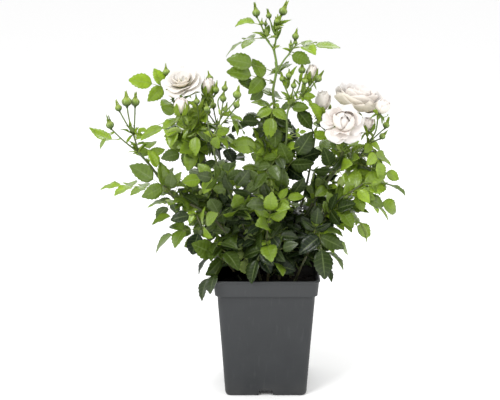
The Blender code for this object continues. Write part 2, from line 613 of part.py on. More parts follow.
def add_leaflet(points, normals, triangles, feet, place, width, toothed):
    """Adds a folded blade whose foot is the edge between two points already in the sheet."""
    left, right = feet
    outline = leaflet_outline(toothed)

    def add(share, offset):
        point, normal = place(share, offset)
        points.append(point)
        normals.append(normal)
        return len(points) - 1

    right_side = [add(share, half * width) for share, half in outline]
    tip = add(1.0, 0.0)
    left_side = [add(share, -half * width) for share, half in reversed(outline)]
    triangles.append((left, right, tip))
    for first, second in zip(right_side, right_side[1:] + [tip]):
        triangles.append((right, first, second))
    for first, second in zip([tip] + left_side, left_side):
        triangles.append((left, first, second))


def leaf_length(blade, pairs):
    stalk = 0.42 if pairs else 0.30
    if pairs == 0:
        return blade * (1.0 + stalk)
    return blade * (1.0 + TIP_SPACING + stalk + (pairs - 1) * PAIR_SPACING)


def compound_leaf(root, tip, facing, blade, pairs, arch, grow=0.0, toothed=False):
    """The sheet of one leaf: a stalk strip with a blade at its end and pairs of blades along it."""
    chord = tip - root
    span = chord.length
    ahead = chord / span
    over = (facing - ahead * facing.dot(ahead)).normalized()

    def curve(share):
        point = root + chord * share + over * (4.0 * arch * span * share * (1.0 - share))
        tangent = (ahead + over * (4.0 * arch * (1.0 - 2.0 * share))).normalized()
        normal = (over - tangent * over.dot(tangent)).normalized()
        return point, tangent, tangent.cross(normal), normal

    if pairs:
        places = [span - blade * (1.0 + TIP_SPACING + PAIR_SPACING * index) for index in range(pairs)][::-1]
    else:
        places = []
    half_foot = LEAFLET_FOOT / 2
    cuts = [0.0] + [place + sign for place in places for sign in (-half_foot, half_foot)] + [span - blade]
    points = []
    normals = []
    triangles = []
    half_stalk = STALK_WIDTH / 2
    for cut in cuts:
        point, _tangent, side, normal = curve(cut / span)
        for sign in (-1, 1):
            points.append(point + side * (sign * half_stalk))
            normals.append(normal)
    for index in range(len(cuts) - 1):
        a = index * 2
        triangles += [(a, a + 1, a + 3), (a, a + 3, a + 2)]
    last = (len(cuts) - 1) * 2
    width = blade * LEAFLET_ASPECT + grow * 2

    def end_place(share, offset):
        reach = (span - blade + (blade + (grow if share == 1.0 else 0.0)) * share) / span
        point, _tangent, side, normal = curve(reach)
        lift = normal * (abs(offset) * LEAFLET_FOLD)
        return point + side * offset + lift, normal

    add_leaflet(points, normals, triangles, (last, last + 1), end_place, width, toothed)
    for index, along_stalk in enumerate(places):
        size = blade * SIDE_LEAFLET_SIZE[min(pairs - 1 - index, 1)] + grow
        point, tangent, side, normal = curve(along_stalk / span)
        for sign in (-1, 1):
            direction = tangent * math.cos(SIDE_LEAFLET_ANGLE) + side * (sign * math.sin(SIDE_LEAFLET_ANGLE))
            across = direction.cross(normal)
            foot = point + side * (sign * half_stalk)

            def side_place(share, offset):
                drop = size * LEAFLET_DROOP * share * share
                lift = normal * (abs(offset) * LEAFLET_FOLD - drop)
                return foot + direction * (size * share) + across * offset + lift, normal

            a = (1 + index * 2) * 2
            feet = (a, a + 2) if sign < 0 else (a + 3, a + 1)
            add_leaflet(points, normals, triangles, feet, side_place, size * LEAFLET_ASPECT + grow * 2, False)
    return points, normals, triangles


def sample_stretches(stretches):
    """Points every few millimetres along a cane and its shoots, above the soil."""
    samples = []
    for points, _first, _last in stretches:
        for start, end in zip(points, points[1:]):
            steps = max(int((end - start).length / 0.004), 1)
            samples += [start.lerp(end, index / steps) for index in range(steps)]
        samples.append(points[-1])
    return [sample for sample in samples if sample.z > SOIL_LEVEL + 0.012]


def leaf_root(samples, tip, length, hanging):
    """Where the leaf leaves its stem: the place whose distance to the tip is nearest the leaf's length."""
    def misfit(sample):
        height = (sample.z - tip.z) if hanging else (tip.z - sample.z)
        return abs((tip - sample).length - length) - 0.12 * height
    return min(samples, key=misfit)


def turned_tip(root, tip, yaw, pitch):
    """The tip swung about the root by a yaw round the vertical and a pitch up or down."""
    chord = tip - root
    side = Vector((-chord.y, chord.x, 0.0))
    if side.length < 0.001:
        side = Vector((1.0, 0.0, 0.0))
    lifted = Matrix.Rotation(math.radians(-pitch), 3, side.normalized()) @ chord
    return root + Matrix.Rotation(math.radians(yaw), 3, "Z") @ lifted


def tree_of(points, faces):
    return BVHTree.FromPolygons(points, faces)


def sheet_hull(points, normals, triangles, thickness, clearance):
    """Points and faces of the sheet grown by the clearance above and below."""
    upper = [point + normal * clearance for point, normal in zip(points, normals)]
    lower = [point - normal * (thickness + clearance) for point, normal in zip(points, normals)]
    count = len(points)
    faces = list(triangles) + [(a + count, c + count, b + count) for a, b, c in triangles]
    edges = {(a, b) for triangle in triangles for a, b in zip(triangle, triangle[1:] + triangle[:1])}
    faces += [(b, a, a + count, b + count) for a, b in edges if (b, a) not in edges]
    return upper + lower, faces


def object_shape(piece):
    points = [vertex.co.copy() for vertex in piece.data.vertices]
    return points, [tuple(face.vertices) for face in piece.data.polygons]


class Garden:
    """What has been placed so far, and whether a new leaf is clear of it."""

    def __init__(self):
        self.trees = []

    def add(self, owner, points, faces, stem=False):
        low = [min(point[axis] for point in points) for axis in range(3)]
        high = [max(point[axis] for point in points) for axis in range(3)]
        self.trees.append((owner, stem, low, high, tree_of(points, faces)))

    def clear(self, owner, blades, stalk):
        """Blades meet nothing, and the stalk meets nothing of another cane."""
        for points, faces, stalk_only in ((*blades, False), (*stalk, True)):
            low = [min(point[axis] for point in points) for axis in range(3)]
            high = [max(point[axis] for point in points) for axis in range(3)]
            tree = tree_of(points, faces)
            for other, stem, other_low, other_high, other_tree in self.trees:
                if stalk_only and other == owner:
                    continue
                if any(low[axis] > other_high[axis] or high[axis] < other_low[axis] for axis in range(3)):
                    continue
                if tree.overlap(other_tree):
                    return False
        return True


def try_leaf(garden, owner, root, tip, facing, blade, pairs, arch, toothed):
    """Places the first of the tried turns that is clear, and gives its sheet, or nothing."""
    for yaw, pitch, roll, scale in PLACED_TRIES:
        aim = turned_tip(root, tip, yaw, pitch)
        chord = (aim - root).normalized()
        face = Matrix.Rotation(math.radians(roll), 3, chord) @ facing
        room = (aim - root).length
        size = blade * scale
        needed = leaf_length(size, pairs)
        if room < needed * 0.86:
            size *= room / (needed * 0.86)
        points, normals, triangles = compound_leaf(root, aim, face, size, pairs, arch, 0.0, toothed)
        wide = compound_leaf(root, aim, face, size, pairs, arch, CLEARANCE, False)
        blade_faces = [triangle for triangle in wide[2] if min(triangle) >= ROOT_POINTS]
        stalk_faces = [triangle for triangle in wide[2] if min(triangle) < ROOT_POINTS]
        blades = sheet_hull(wide[0], wide[1], blade_faces, BLADE_THICKNESS, CLEARANCE)
        stalk = sheet_hull(wide[0], wide[1], stalk_faces, BLADE_THICKNESS, CLEARANCE)
        low = min(point.z for point in wide[0])
        if low < 0.001:
            continue
        if garden.clear(owner, blades, stalk):
            hull = sheet_hull(points, normals, triangles, BLADE_THICKNESS, 0.0)
            garden.add(owner, *hull)
            return points, normals, triangles
    return None


# Roses.

def petal(name, frame, seat, profile, angle, half_angle, twist, random_source, collection):
    """One cupped petal: three points across by three along its profile, one side tucked under its neighbour."""
    points = []
    normals = []
    wave = random_source.uniform(-1.0, 1.0)
    for row, (reach, height) in enumerate(profile):
        before = profile[max(row - 1, 0)]
        after = profile[min(row + 1, 2)]
        slope = math.atan2(after[1] - before[1], after[0] - before[0])
        for column in (-1, 0, 1):
            narrow = (0.55, 1.0, 0.78)[row]
            around = angle + math.radians(half_angle) * narrow * column
            tuck = twist * column * (0.25, 1.0, 1.0)[row]
            out = reach + tuck * math.sin(slope)
            lift = height - tuck * math.cos(slope)
            if row == 2 and column:
                out -= (2.2 + wave * 0.5 * column) * math.cos(slope)
                lift -= (2.2 + wave * 0.5 * column) * math.sin(slope)
            points.append(seat + frame @ millimetres((out * math.cos(around), out * math.sin(around), lift)))
    for row in range(3):
        for column in range(3):
            index = row * 3 + column
            ahead = points[min(row + 1, 2) * 3 + column] - points[max(row - 1, 0) * 3 + column]
            side = points[row * 3 + min(column + 1, 2)] - points[row * 3 + max(column - 1, 0)]
            normals.append(ahead.cross(side).normalized())
    triangles = []
    for row in range(2):
        for column in range(2):
            a = row * 3 + column
            triangles += [(a, a + 4, a + 1), (a, a + 3, a + 4)]
    return thick_sheet(name, points, normals, triangles, PETAL_THICKNESS, collection)


def rose_seat(seat, axis):
    return seat + axis * (CUP_HEIGHT + GAP)


def open_rose(name, seat, axis, data, collection):
    """The centre of furled petals and the rings of petals round it."""
    source = random.Random(name)
    frame = turned_frame(axis)
    radius, height = data["core"]
    profile = [(0.0, 0.0), (0.0042, 0.0), (radius * 0.001, 0.007), (radius * 0.00085, height * 0.0006),
               (radius * 0.0005, height * 0.0009), (0.0, height * 0.00098)]
    core = turned(name, profile, 6, seat, axis, 0.2, collection)
    petals = []
    for ring, (count, petal_profile, half_angle) in enumerate(data["rings"]):
        for index in range(count):
            angle = math.tau * (index + 0.5 * (ring % 2)) / count + math.radians(data["turn"])
            petals.append(petal(f"{name}_petal_{ring}_{index}", frame, seat, petal_profile, angle, half_angle,
                                2.0 - 0.5 * ring, source, collection))
    return core, petals


def opening_rose(name, seat, axis, radius, height, collection):
    """A half open rose: an egg of furled petals with three outer petals that stand a little open."""
    source = random.Random(name)
    frame = turned_frame(axis)
    r = radius
    h = height
    profile = [(0.0, 0.0), (0.0034, 0.0), (r * 0.00070, h * 0.00025), (r * 0.00078, h * 0.00055),
               (r * 0.00052, h * 0.00085), (0.0, h * 0.00098)]
    core = turned(name, profile, 6, seat, axis, 0.1, collection)
    shape = [(r * 0.35, h * 0.06), (r * 0.98, h * 0.42), (r * 0.94, h * 0.86)]
    petals = [petal(f"{name}_petal_{index}", frame, seat, shape, math.tau * index / 3, 58, 0.9, source,
                    collection) for index in range(3)]
    return core, petals


# Putting it together.

def fuse(core, others, collection):
    """Joins the pieces into the core as one closed body, and drops what is left loose or sealed inside."""
    operands = bpy.data.collections.new(core.name + "_pieces")
    bpy.context.scene.collection.children.link(operands)
    for piece in others:
        collection.objects.unlink(piece)
        operands.objects.link(piece)
    combine(core, operands, "UNION", "MANIFOLD")
    remove_all(operands.objects)
    bpy.data.collections.remove(operands)
    keep_largest(core)


def lighten(piece, share):
    """Collapses the shortest edges that the joining left, down to a share of the triangles."""
    change = piece.modifiers.new("lighten", "DECIMATE")
    change.ratio = share
    apply_change(piece, change)


def keep_largest(piece):
    """Keeps the biggest connected body of a mesh, which drops scraps and sealed hollows."""
    shape = bmesh.new()
    shape.from_mesh(piece.data)
    bmesh.ops.remove_doubles(shape, verts=shape.verts[:], dist=0.0000005)
    unseen = set(shape.faces)
    bodies = []
    while unseen:
        stack = [unseen.pop()]
        body = set(stack)
        while stack:
            face = stack.pop()
            for edge in face.edges:
                for other in edge.link_faces:
                    if other in unseen:
                        unseen.remove(other)
                        body.add(other)
                        stack.append(other)
        bodies.append(body)
    largest = max(bodies, key=len)
    extra = [face for body in bodies if body is not largest for face in body]
    bmesh.ops.delete(shape, geom=extra, context="FACES")
    loose = [vertex for vertex in shape.verts if not vertex.link_faces]
    bmesh.ops.delete(shape, geom=loose, context="VERTS")
    bmesh.ops.triangulate(shape, faces=shape.faces[:])
    shape.to_mesh(piece.data)
    shape.free()


def make_canes(collection, garden, white):
    """Grows every cane with its shoots, buds and cups, and the roses on them."""
    plants = {}
    for name, data in CANES.items():
        stretches = cane_tips(data)
        parts = []
        for index, (points, first, last) in enumerate(stretches):
            sides = 6 if index == 0 else 4
            parts.append(tube(f"leafy_stem_{name}" if index == 0 else f"{name}_shoot_{index}", points,
                              along(len(points), first, last), sides, collection))
        for index, (route, _start, _end, load) in enumerate(data["shoots"]):
            seat = millimetres(route[-1])
            aim = millimetres(load[-1])
            if load[0] == "bud":
                parts.append(green_bud(f"{name}_bud_{index}", seat, seat + aim, load[1] * 0.001, collection))
                continue
            axis = aim.normalized()
            width, sepals = OPEN_CUP if load[0] == "bloom" else OPENING_CUP
            parts += green_cup(f"{name}_cup_{index}", seat, axis, width, sepals, collection)
            top = rose_seat(seat, axis)
            if load[0] == "bloom":
                core, petals = open_rose(load[1], top, axis, ROSES[load[1]], collection)
            else:
                core, petals = opening_rose(load[1], top, axis, load[2], aim.length * 1000 * 1.25, collection)
            for piece in [core] + petals:
                garden.add(load[1], *object_shape(piece))
            fuse(core, petals, collection)
            lighten(core, LIGHTENED_ROSE)
            give_material(core, white)
        for part in parts:
            garden.add(name, *object_shape(part), stem=True)
        plants[name] = (stretches, parts)
    return plants


def grow_leaves(plants, garden, collection):
    """The leaves of every cane, each clear of all before it."""
    for name, data in CANES.items():
        stretches, parts = plants[name]
        samples = sample_stretches(stretches)
        for index, (tip, blade, pairs, facing, arch) in enumerate(data["leaves"]):
            tip = millimetres(tip)
            length = leaf_length(blade * 0.001, pairs)
            root = leaf_root(samples, tip, length, tip.z < POT_HEIGHT + 0.05)
            sheet = try_leaf(garden, name, root, tip, Vector(FACES[facing]), blade * 0.001, pairs, arch,
                             blade >= TOOTHED_BLADE)
            if sheet is not None:
                parts.append(thick_sheet(f"{name}_leaf_{index}", *sheet, BLADE_THICKNESS, collection))


def add_thorns(plants, collection):
    """A short hooked thorn low on each cane."""
    for name, (stretches, parts) in plants.items():
        points, first, _last = stretches[0]
        start, end = points[2], points[3]
        direction = (end - start).normalized()
        out = direction.cross(Vector((1.0, 0.0, 0.2))).normalized()
        parts.append(turned(f"{name}_thorn", [(0.0, 0.0), (0.0018, 0.0), (0.0, first + 0.0045)], 4,
                            start.lerp(end, 0.35), out - direction * 0.3, 0.0, collection))


def make_soil(collection, cutters, plants):
    soil = cavity("soil", GAP, SOIL_LEVEL, cutters)
    cutters.objects.unlink(soil)
    collection.objects.link(soil)
    for stretches, _parts in plants.values():
        points, first, _last = stretches[0]
        heading = (points[1] - points[0]).normalized()
        ends = [points[0] - heading * GAP * 2, points[1] + heading * 0.010]
        hole = tube("hole", ends, [first + GAP * 1.6] * 2, 6, cutters)
        combine(soil, hole, "DIFFERENCE")
        bpy.data.objects.remove(hole)
    give_material(soil, plain_material("peat", (0.018, 0.014, 0.011), 0.95))


def build_rose():
    remove_all(bpy.data.objects)
    collection = plant_collection("potted_rose")
    cutters = plant_collection("cutters")
    pot = make_pot(collection, cutters)
    green = plain_material("rose_green", (0.10, 0.22, 0.035), 0.5)
    white = plain_material("rose_petals", (0.86, 0.80, 0.73), 0.6)
    garden = Garden()
    garden.add("pot", *object_shape(pot))
    plants = make_canes(collection, garden, white)
    grow_leaves(plants, garden, collection)
    add_thorns(plants, collection)
    make_soil(collection, cutters, plants)
    for _stretches, parts in plants.values():
        fuse(parts[0], parts[1:], collection)
        lighten(parts[0], LIGHTENED_STEM)
        give_material(parts[0], green)


build_rose()
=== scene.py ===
"""Dresses the potted rose: a grey nursery pot of peat and a bushy rose with white double blooms."""

import json
import math
import random

import bpy
import numpy as np
from mathutils import Matrix, Vector, kdtree, noise

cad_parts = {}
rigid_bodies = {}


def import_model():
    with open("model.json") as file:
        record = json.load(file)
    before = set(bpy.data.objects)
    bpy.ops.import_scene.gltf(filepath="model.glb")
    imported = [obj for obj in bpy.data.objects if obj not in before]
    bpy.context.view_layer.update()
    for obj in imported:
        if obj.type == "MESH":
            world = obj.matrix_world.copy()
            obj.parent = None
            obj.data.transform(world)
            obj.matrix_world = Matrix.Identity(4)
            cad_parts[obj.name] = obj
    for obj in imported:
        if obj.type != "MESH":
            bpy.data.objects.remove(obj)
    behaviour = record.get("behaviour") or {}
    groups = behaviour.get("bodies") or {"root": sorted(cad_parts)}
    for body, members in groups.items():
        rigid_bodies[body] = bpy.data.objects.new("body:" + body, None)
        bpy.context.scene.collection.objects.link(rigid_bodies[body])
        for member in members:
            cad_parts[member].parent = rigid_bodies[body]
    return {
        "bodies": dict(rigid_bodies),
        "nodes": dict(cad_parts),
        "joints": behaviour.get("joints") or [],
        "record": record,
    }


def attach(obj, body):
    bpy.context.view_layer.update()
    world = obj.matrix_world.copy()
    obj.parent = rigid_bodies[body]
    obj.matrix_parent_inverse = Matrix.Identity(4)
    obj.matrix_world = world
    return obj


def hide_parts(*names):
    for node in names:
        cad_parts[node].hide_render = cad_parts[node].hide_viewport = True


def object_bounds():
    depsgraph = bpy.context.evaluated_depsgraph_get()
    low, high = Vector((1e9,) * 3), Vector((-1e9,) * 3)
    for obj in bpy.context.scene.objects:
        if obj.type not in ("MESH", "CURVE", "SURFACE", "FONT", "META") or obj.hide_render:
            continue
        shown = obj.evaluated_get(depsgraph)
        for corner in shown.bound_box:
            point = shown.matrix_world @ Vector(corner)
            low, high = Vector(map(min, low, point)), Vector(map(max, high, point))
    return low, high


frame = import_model()
cad_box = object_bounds()

# The studio. A camera a little above the bush looks down at the pot's front, as in the photograph. The floor is a
# plain pale board, and the light is soft: a bright room, a large lamp above on the left and a weaker one on the
# right.
TARGET = Vector((-0.0287, 0.0, 0.347))
CAMERA_DISTANCE = 2.4
CAMERA_ELEVATION = math.radians(15)
VIEW_WIDTH = 0.897
SENSOR_WIDTH = 36.0

camera_side = Vector((0, -math.cos(CAMERA_ELEVATION), math.sin(CAMERA_ELEVATION)))
bpy.ops.object.select_all(action="DESELECT")
bpy.ops.object.camera_add(location=TARGET + camera_side * CAMERA_DISTANCE,
                          rotation=(math.pi / 2 - CAMERA_ELEVATION, 0, 0))
camera = bpy.context.object
camera.name = "camera"
camera.data.sensor_width = SENSOR_WIDTH
camera.data.lens = SENSOR_WIDTH * CAMERA_DISTANCE / VIEW_WIDTH
bpy.context.scene.camera = camera

for name, place, size, energy in (("lamp_left", (-1.3, -1.5, 2.0), 1.1, 42), ("lamp_right", (1.7, -1.0, 1.3), 1.2, 9),
                                  ("lamp_behind", (0.3, 1.8, 1.9), 1.4, 16)):
    aim = Vector((0, 0, 0.38)) - Vector(place)
    bpy.ops.object.light_add(type="AREA", location=place, rotation=aim.to_track_quat("-Z", "Y").to_euler())
    lamp = bpy.context.object
    lamp.name = name
    lamp.data.energy = energy
    lamp.data.size = size

world = bpy.data.worlds.new("bright_room")
world.use_nodes = True
world.node_tree.nodes["Background"].inputs["Color"].default_value = (1.0, 1.0, 1.0, 1.0)
world.node_tree.nodes["Background"].inputs["Strength"].default_value = 1.0
bpy.context.scene.world = world
bpy.context.scene.view_settings.view_transform = "Standard"


def new_finish(name, roughness, specular=0.5):
    """A material with its Principled shader, as (material, tree, shader)."""
    material = bpy.data.materials.new(name)
    material.use_nodes = True
    shader = material.node_tree.nodes["Principled BSDF"]
    shader.inputs["Roughness"].default_value = roughness
    shader.inputs["Specular IOR Level"].default_value = specular
    return material, material.node_tree, shader


def wire(tree, kind, inputs=(), **settings):
    """Adds a node to the tree with its settings, and joins or sets its inputs."""
    node = tree.nodes.new(kind)
    for key, value in settings.items():
        setattr(node, key, value)
    for key, value in dict(inputs).items():
        if isinstance(value, bpy.types.NodeSocket):
            tree.links.new(value, node.inputs[key])
        else:
            node.inputs[key].default_value = value
    return node


def maths(tree, operation, first, second=0.0, third=0.0):
    inputs = {0: first, 1: second}
    if operation in ("MULTIPLY_ADD", "SMOOTH_MIN", "SMOOTH_MAX"):
        inputs[2] = third
    return wire(tree, "ShaderNodeMath", inputs, operation=operation).outputs[0]


def in_range(tree, value, low, high):
    """The value's place between low and high, from 0 to 1."""
    return wire(tree, "ShaderNodeMapRange", {"Value": value, "From Min": low, "From Max": high}).outputs[0]


def mixed(tree, share, first, second, blend_type="MIX"):
    """The two colours mixed by the share."""
    return wire(tree, "ShaderNodeMix", {0: share, 6: first, 7: second}, data_type="RGBA",
                blend_type=blend_type).outputs[2]


def colour(red, green, blue):
    return (red, green, blue, 1.0)


bpy.ops.mesh.primitive_plane_add(size=14.0)
floor = bpy.context.object
floor.name = "floor"
floor_finish, _tree, floor_shader = new_finish("pale_board", 0.9, 0.1)
floor_shader.inputs["Base Color"].default_value = colour(0.97, 0.97, 0.97)
floor.data.materials.append(floor_finish)

# The pot. A square container of recycled grey plastic, blown thin, with a rim band that stiffens its mouth, a
# small lip, and a channel under each side that meets at the middle pad and drains the base.
POT_HEIGHT = 0.224
RIM_WIDTH = 0.190
RIM_FOOT_WIDTH = 0.182
RIM_DROP = 0.030
LIP_HEIGHT = 0.004
BODY_TOP_WIDTH = 0.173
BODY_FOOT_WIDTH = 0.147
FOOT_ROUNDING = 0.004
WALL = 0.002
CORNER_RADIUS = 0.013
CORNER_STEPS = 8
CHANNEL_WIDTH = 0.029
CHANNEL_HEIGHT = 0.010
CHANNEL_TAPER = 0.003
CENTRE_PAD = 0.060
DRAIN_RADIUS = 0.0045
DRAIN_PLACE = 0.048
GAP = 0.0003
SHOULDER = POT_HEIGHT - RIM_DROP


def square_tower(name, sections):
    """A closed solid drawn up from a square with rounded corners, by its half width at each height."""
    half, base = sections[0]
    bpy.ops.object.select_all(action="DESELECT")
    bpy.ops.mesh.primitive_plane_add(size=2 * half, location=(0, 0, base))
    tower = bpy.context.object
    tower.name = name
    bpy.ops.object.mode_set(mode="EDIT")
    bpy.ops.mesh.bevel(offset=CORNER_RADIUS * half / RIM_WIDTH * 2, segments=CORNER_STEPS, affect="VERTICES")
    bpy.ops.mesh.select_all(action="SELECT")
    for (near, low), (far, high) in zip(sections, sections[1:]):
        bpy.ops.mesh.extrude_region_move(TRANSFORM_OT_translate={"value": (0, 0, high - low)})
        bpy.ops.transform.resize(value=(far / near, far / near, 1), center_override=(0, 0, high))
    bpy.ops.mesh.select_all(action="SELECT")
    bpy.ops.mesh.normals_make_consistent(inside=False)
    bpy.ops.object.mode_set(mode="OBJECT")
    bpy.ops.object.transform_apply(location=True, rotation=True, scale=True)
    return tower


def make_active(piece):
    bpy.ops.object.select_all(action="DESELECT")
    piece.select_set(True)
    bpy.context.view_layer.objects.active = piece


def apply_modifier(piece, kind, **settings):
    """Gives the piece a modifier and applies it."""
    make_active(piece)
    change = piece.modifiers.new(kind.lower(), kind)
    for key, value in settings.items():
        setattr(change, key, value)
    bpy.ops.object.modifier_apply(modifier=change.name)


def cut_away(piece, tool):
    apply_modifier(piece, "BOOLEAN", object=tool, operation="DIFFERENCE", solver="EXACT")
    bpy.data.objects.remove(tool)


def cut_foot_channels(piece, grow):
    """Cuts the four drainage channels, grown by a wall on the inside of the pot."""
    for side in range(4):
        bpy.ops.mesh.primitive_cube_add(size=1.0)
        block = bpy.context.object
        for vertex in block.data.vertices:
            half = CHANNEL_WIDTH / 2 + grow - (CHANNEL_TAPER if vertex.co.z > 0 else 0.0)
            vertex.co.x = CENTRE_PAD / 2 - grow if vertex.co.x < 0 else BODY_FOOT_WIDTH / 2 + 0.010
            vertex.co.y = math.copysign(half, vertex.co.y)
            vertex.co.z = CHANNEL_HEIGHT + grow if vertex.co.z > 0 else -0.005
        block.data.transform(Matrix.Rotation(side * math.pi / 2, 4, "Z"))
        cut_away(piece, block)


def pot_space(name, gap, top, steps):
    """The space inside the wall, smaller all round by the gap, up to the height top."""
    inset = WALL + gap
    rim_foot = RIM_FOOT_WIDTH / 2 - inset
    rim_top = RIM_WIDTH / 2 - 0.0015 - inset
    ledge = SHOULDER + WALL + gap * 2
    foot = BODY_FOOT_WIDTH / 2 - inset
    sections = [(foot - FOOT_ROUNDING / 2, inset), (foot, inset + FOOT_ROUNDING),
                (BODY_TOP_WIDTH / 2 - inset, SHOULDER + gap), (rim_foot, ledge)]
    for step in range(1, steps + 1):
        height = ledge + (top - ledge) * step / steps
        sections.append((rim_foot + (rim_top - rim_foot) * (height - ledge) / (POT_HEIGHT - ledge), height))
    space = square_tower(name, sections)
    cut_foot_channels(space, inset)
    return space


foot = BODY_FOOT_WIDTH / 2
rim = RIM_WIDTH / 2
pot = square_tower("nursery_pot", [
    (foot - FOOT_ROUNDING, 0.0), (foot - FOOT_ROUNDING * 0.35, FOOT_ROUNDING * 0.3),
    (foot - FOOT_ROUNDING * 0.08, FOOT_ROUNDING * 0.9), (foot + 0.0003, FOOT_ROUNDING * 1.6),
    (foot + 0.006, 0.092), (BODY_TOP_WIDTH / 2 - 0.0004, SHOULDER - 0.012), (BODY_TOP_WIDTH / 2, SHOULDER),
    (RIM_FOOT_WIDTH / 2 - 0.0009, SHOULDER), (RIM_FOOT_WIDTH / 2, SHOULDER + 0.0009),
    (rim - 0.0019, POT_HEIGHT - LIP_HEIGHT - 0.0005), (rim - 0.0006, POT_HEIGHT - LIP_HEIGHT * 0.85),
    (rim, POT_HEIGHT - LIP_HEIGHT * 0.6), (rim, POT_HEIGHT - LIP_HEIGHT * 0.25), (rim - 0.0007, POT_HEIGHT)])
cut_foot_channels(pot, 0.0)
cut_away(pot, pot_space("pot_inside", 0.0, POT_HEIGHT + 0.004, 1))
for side in range(4):
    drain = Matrix.Rotation(side * math.pi / 2, 3, "Z") @ Vector((DRAIN_PLACE, 0.0, CHANNEL_HEIGHT))
    bpy.ops.mesh.primitive_cylinder_add(vertices=24, radius=DRAIN_RADIUS, depth=0.012, location=drain)
    cut_away(pot, bpy.context.object)
apply_modifier(pot, "BEVEL", width=0.0005, segments=2, limit_method="ANGLE", angle_limit=math.radians(50))
make_active(pot)
bpy.ops.object.shade_smooth_by_angle(angle=math.radians(32))

# Uneven tone is shared by most finishes here: soft blotches that shift a colour towards another.
mottle = bpy.data.node_groups.new("uneven_tone", "ShaderNodeTree")
for socket, kind, low in (("Colour", "NodeSocketColor", None), ("Other", "NodeSocketColor", None),
                          ("Scale", "NodeSocketFloat", 40.0), ("Amount", "NodeSocketFloat", 0.5)):
    made = mottle.interface.new_socket(socket, in_out="INPUT", socket_type=kind)
    if low is not None:
        made.default_value = low
mottle.interface.new_socket("Colour", in_out="OUTPUT", socket_type="NodeSocketColor")
mottle.interface.new_socket("Blotch", in_out="OUTPUT", socket_type="NodeSocketFloat")
given = mottle.nodes.new("NodeGroupInput")
where = wire(mottle, "ShaderNodeTexCoord").outputs["Object"]
blotch = wire(mottle, "ShaderNodeTexNoise", {"Vector": where, "Scale": given.outputs["Scale"], "Detail": 5.0,
                                            "Roughness": 0.62}).outputs["Fac"]
blotch = in_range(mottle, blotch, 0.32, 0.68)
put = mottle.nodes.new("NodeGroupOutput")
mottle.links.new(mixed(mottle, maths(mottle, "MULTIPLY", blotch, given.outputs["Amount"]), given.outputs["Colour"],
                       given.outputs["Other"]), put.inputs["Colour"])
mottle.links.new(blotch, put.inputs["Blotch"])


def uneven(tree, first, second, scale, amount):
    """The first colour with blotches of the second, as (colour, blotch)."""
    group = wire(tree, "ShaderNodeGroup", node_tree=mottle)
    for key, value in (("Colour", first), ("Other", second), ("Scale", scale), ("Amount", amount)):
        if isinstance(value, bpy.types.NodeSocket):
            tree.links.new(value, group.inputs[key])
        else:
            group.inputs[key].default_value = value
    return group.outputs["Colour"], group.outputs["Blotch"]


def bumped(tree, shader, height, distance, strength=1.0):
    bump = wire(tree, "ShaderNodeBump", {"Height": height, "Distance": distance, "Strength": strength})
    tree.links.new(bump.outputs["Normal"], shader.inputs["Normal"])


pot_finish, tree, shader = new_finish("grey_recycled_plastic", 0.46, 0.32)
where = wire(tree, "ShaderNodeTexCoord").outputs["Object"]
height = wire(tree, "ShaderNodeSeparateXYZ", {0: where}).outputs["Z"]
# The grey is painted lighter towards the top and lighter still on the rim band: painted light from above.
grey = mixed(tree, in_range(tree, height, 0.03, POT_HEIGHT), colour(0.020, 0.022, 0.024), colour(0.031, 0.033, 0.035))
grey = mixed(tree, maths(tree, "MULTIPLY", in_range(tree, height, SHOULDER - 0.001, SHOULDER + 0.004), 0.35), grey,
             colour(0.048, 0.050, 0.051))
grey, blotch = uneven(tree, grey, colour(0.048, 0.051, 0.054), 22.0, 0.22)
rubbed = wire(tree, "ShaderNodeTexNoise", {"Vector": wire(tree, "ShaderNodeMapping", {
    "Vector": where, "Scale": (1.0, 1.0, 0.16)}).outputs[0], "Scale": 190.0, "Detail": 3.0}).outputs["Fac"]
rubbed = in_range(tree, rubbed, 0.60, 0.76)
grey = mixed(tree, maths(tree, "MULTIPLY", rubbed, 0.05), grey, colour(0.18, 0.18, 0.18))
dusty = maths(tree, "MULTIPLY", in_range(tree, height, 0.035, 0.0), blotch)
grey = mixed(tree, maths(tree, "MULTIPLY", dusty, 0.12), grey, colour(0.15, 0.135, 0.12))
tree.links.new(grey, shader.inputs["Base Color"])
tree.links.new(maths(tree, "MULTIPLY_ADD", blotch, 0.10, 0.42), shader.inputs["Roughness"])
grain = wire(tree, "ShaderNodeTexNoise", {"Vector": where, "Scale": 900.0, "Detail": 2.0}).outputs["Fac"]
bumped(tree, shader, maths(tree, "MULTIPLY_ADD", rubbed, 0.5, grain), 0.00006)
pot.data.materials.append(pot_finish)
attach(pot, "root")
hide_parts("pot")

# The peat. A damp dark root ball fills the pot to a finger's width under the rim. Its top is left uneven by
# watering, and loose crumbs of peat and bark lie on it, each sunk a little into the surface.
SOIL_LEVEL = 0.206
SOIL_CELLS = 80
SOIL_SWELL = 0.0026
CRUMBS = 460

INSET = WALL + GAP
soil_foot = BODY_FOOT_WIDTH / 2 - INSET
soil_ledge = SHOULDER + WALL + GAP * 2
soil_rim = RIM_FOOT_WIDTH / 2 - INSET
soil_half = soil_rim + (SOIL_LEVEL - soil_ledge) / (POT_HEIGHT - soil_ledge) * (RIM_WIDTH / 2 - 0.0015 - INSET - soil_rim)
bpy.ops.object.select_all(action="DESELECT")
bpy.ops.mesh.primitive_grid_add(x_subdivisions=SOIL_CELLS, y_subdivisions=SOIL_CELLS, size=2.0)
soil = bpy.context.object
soil.name = "peat"
soil_corner = CORNER_RADIUS / soil_half


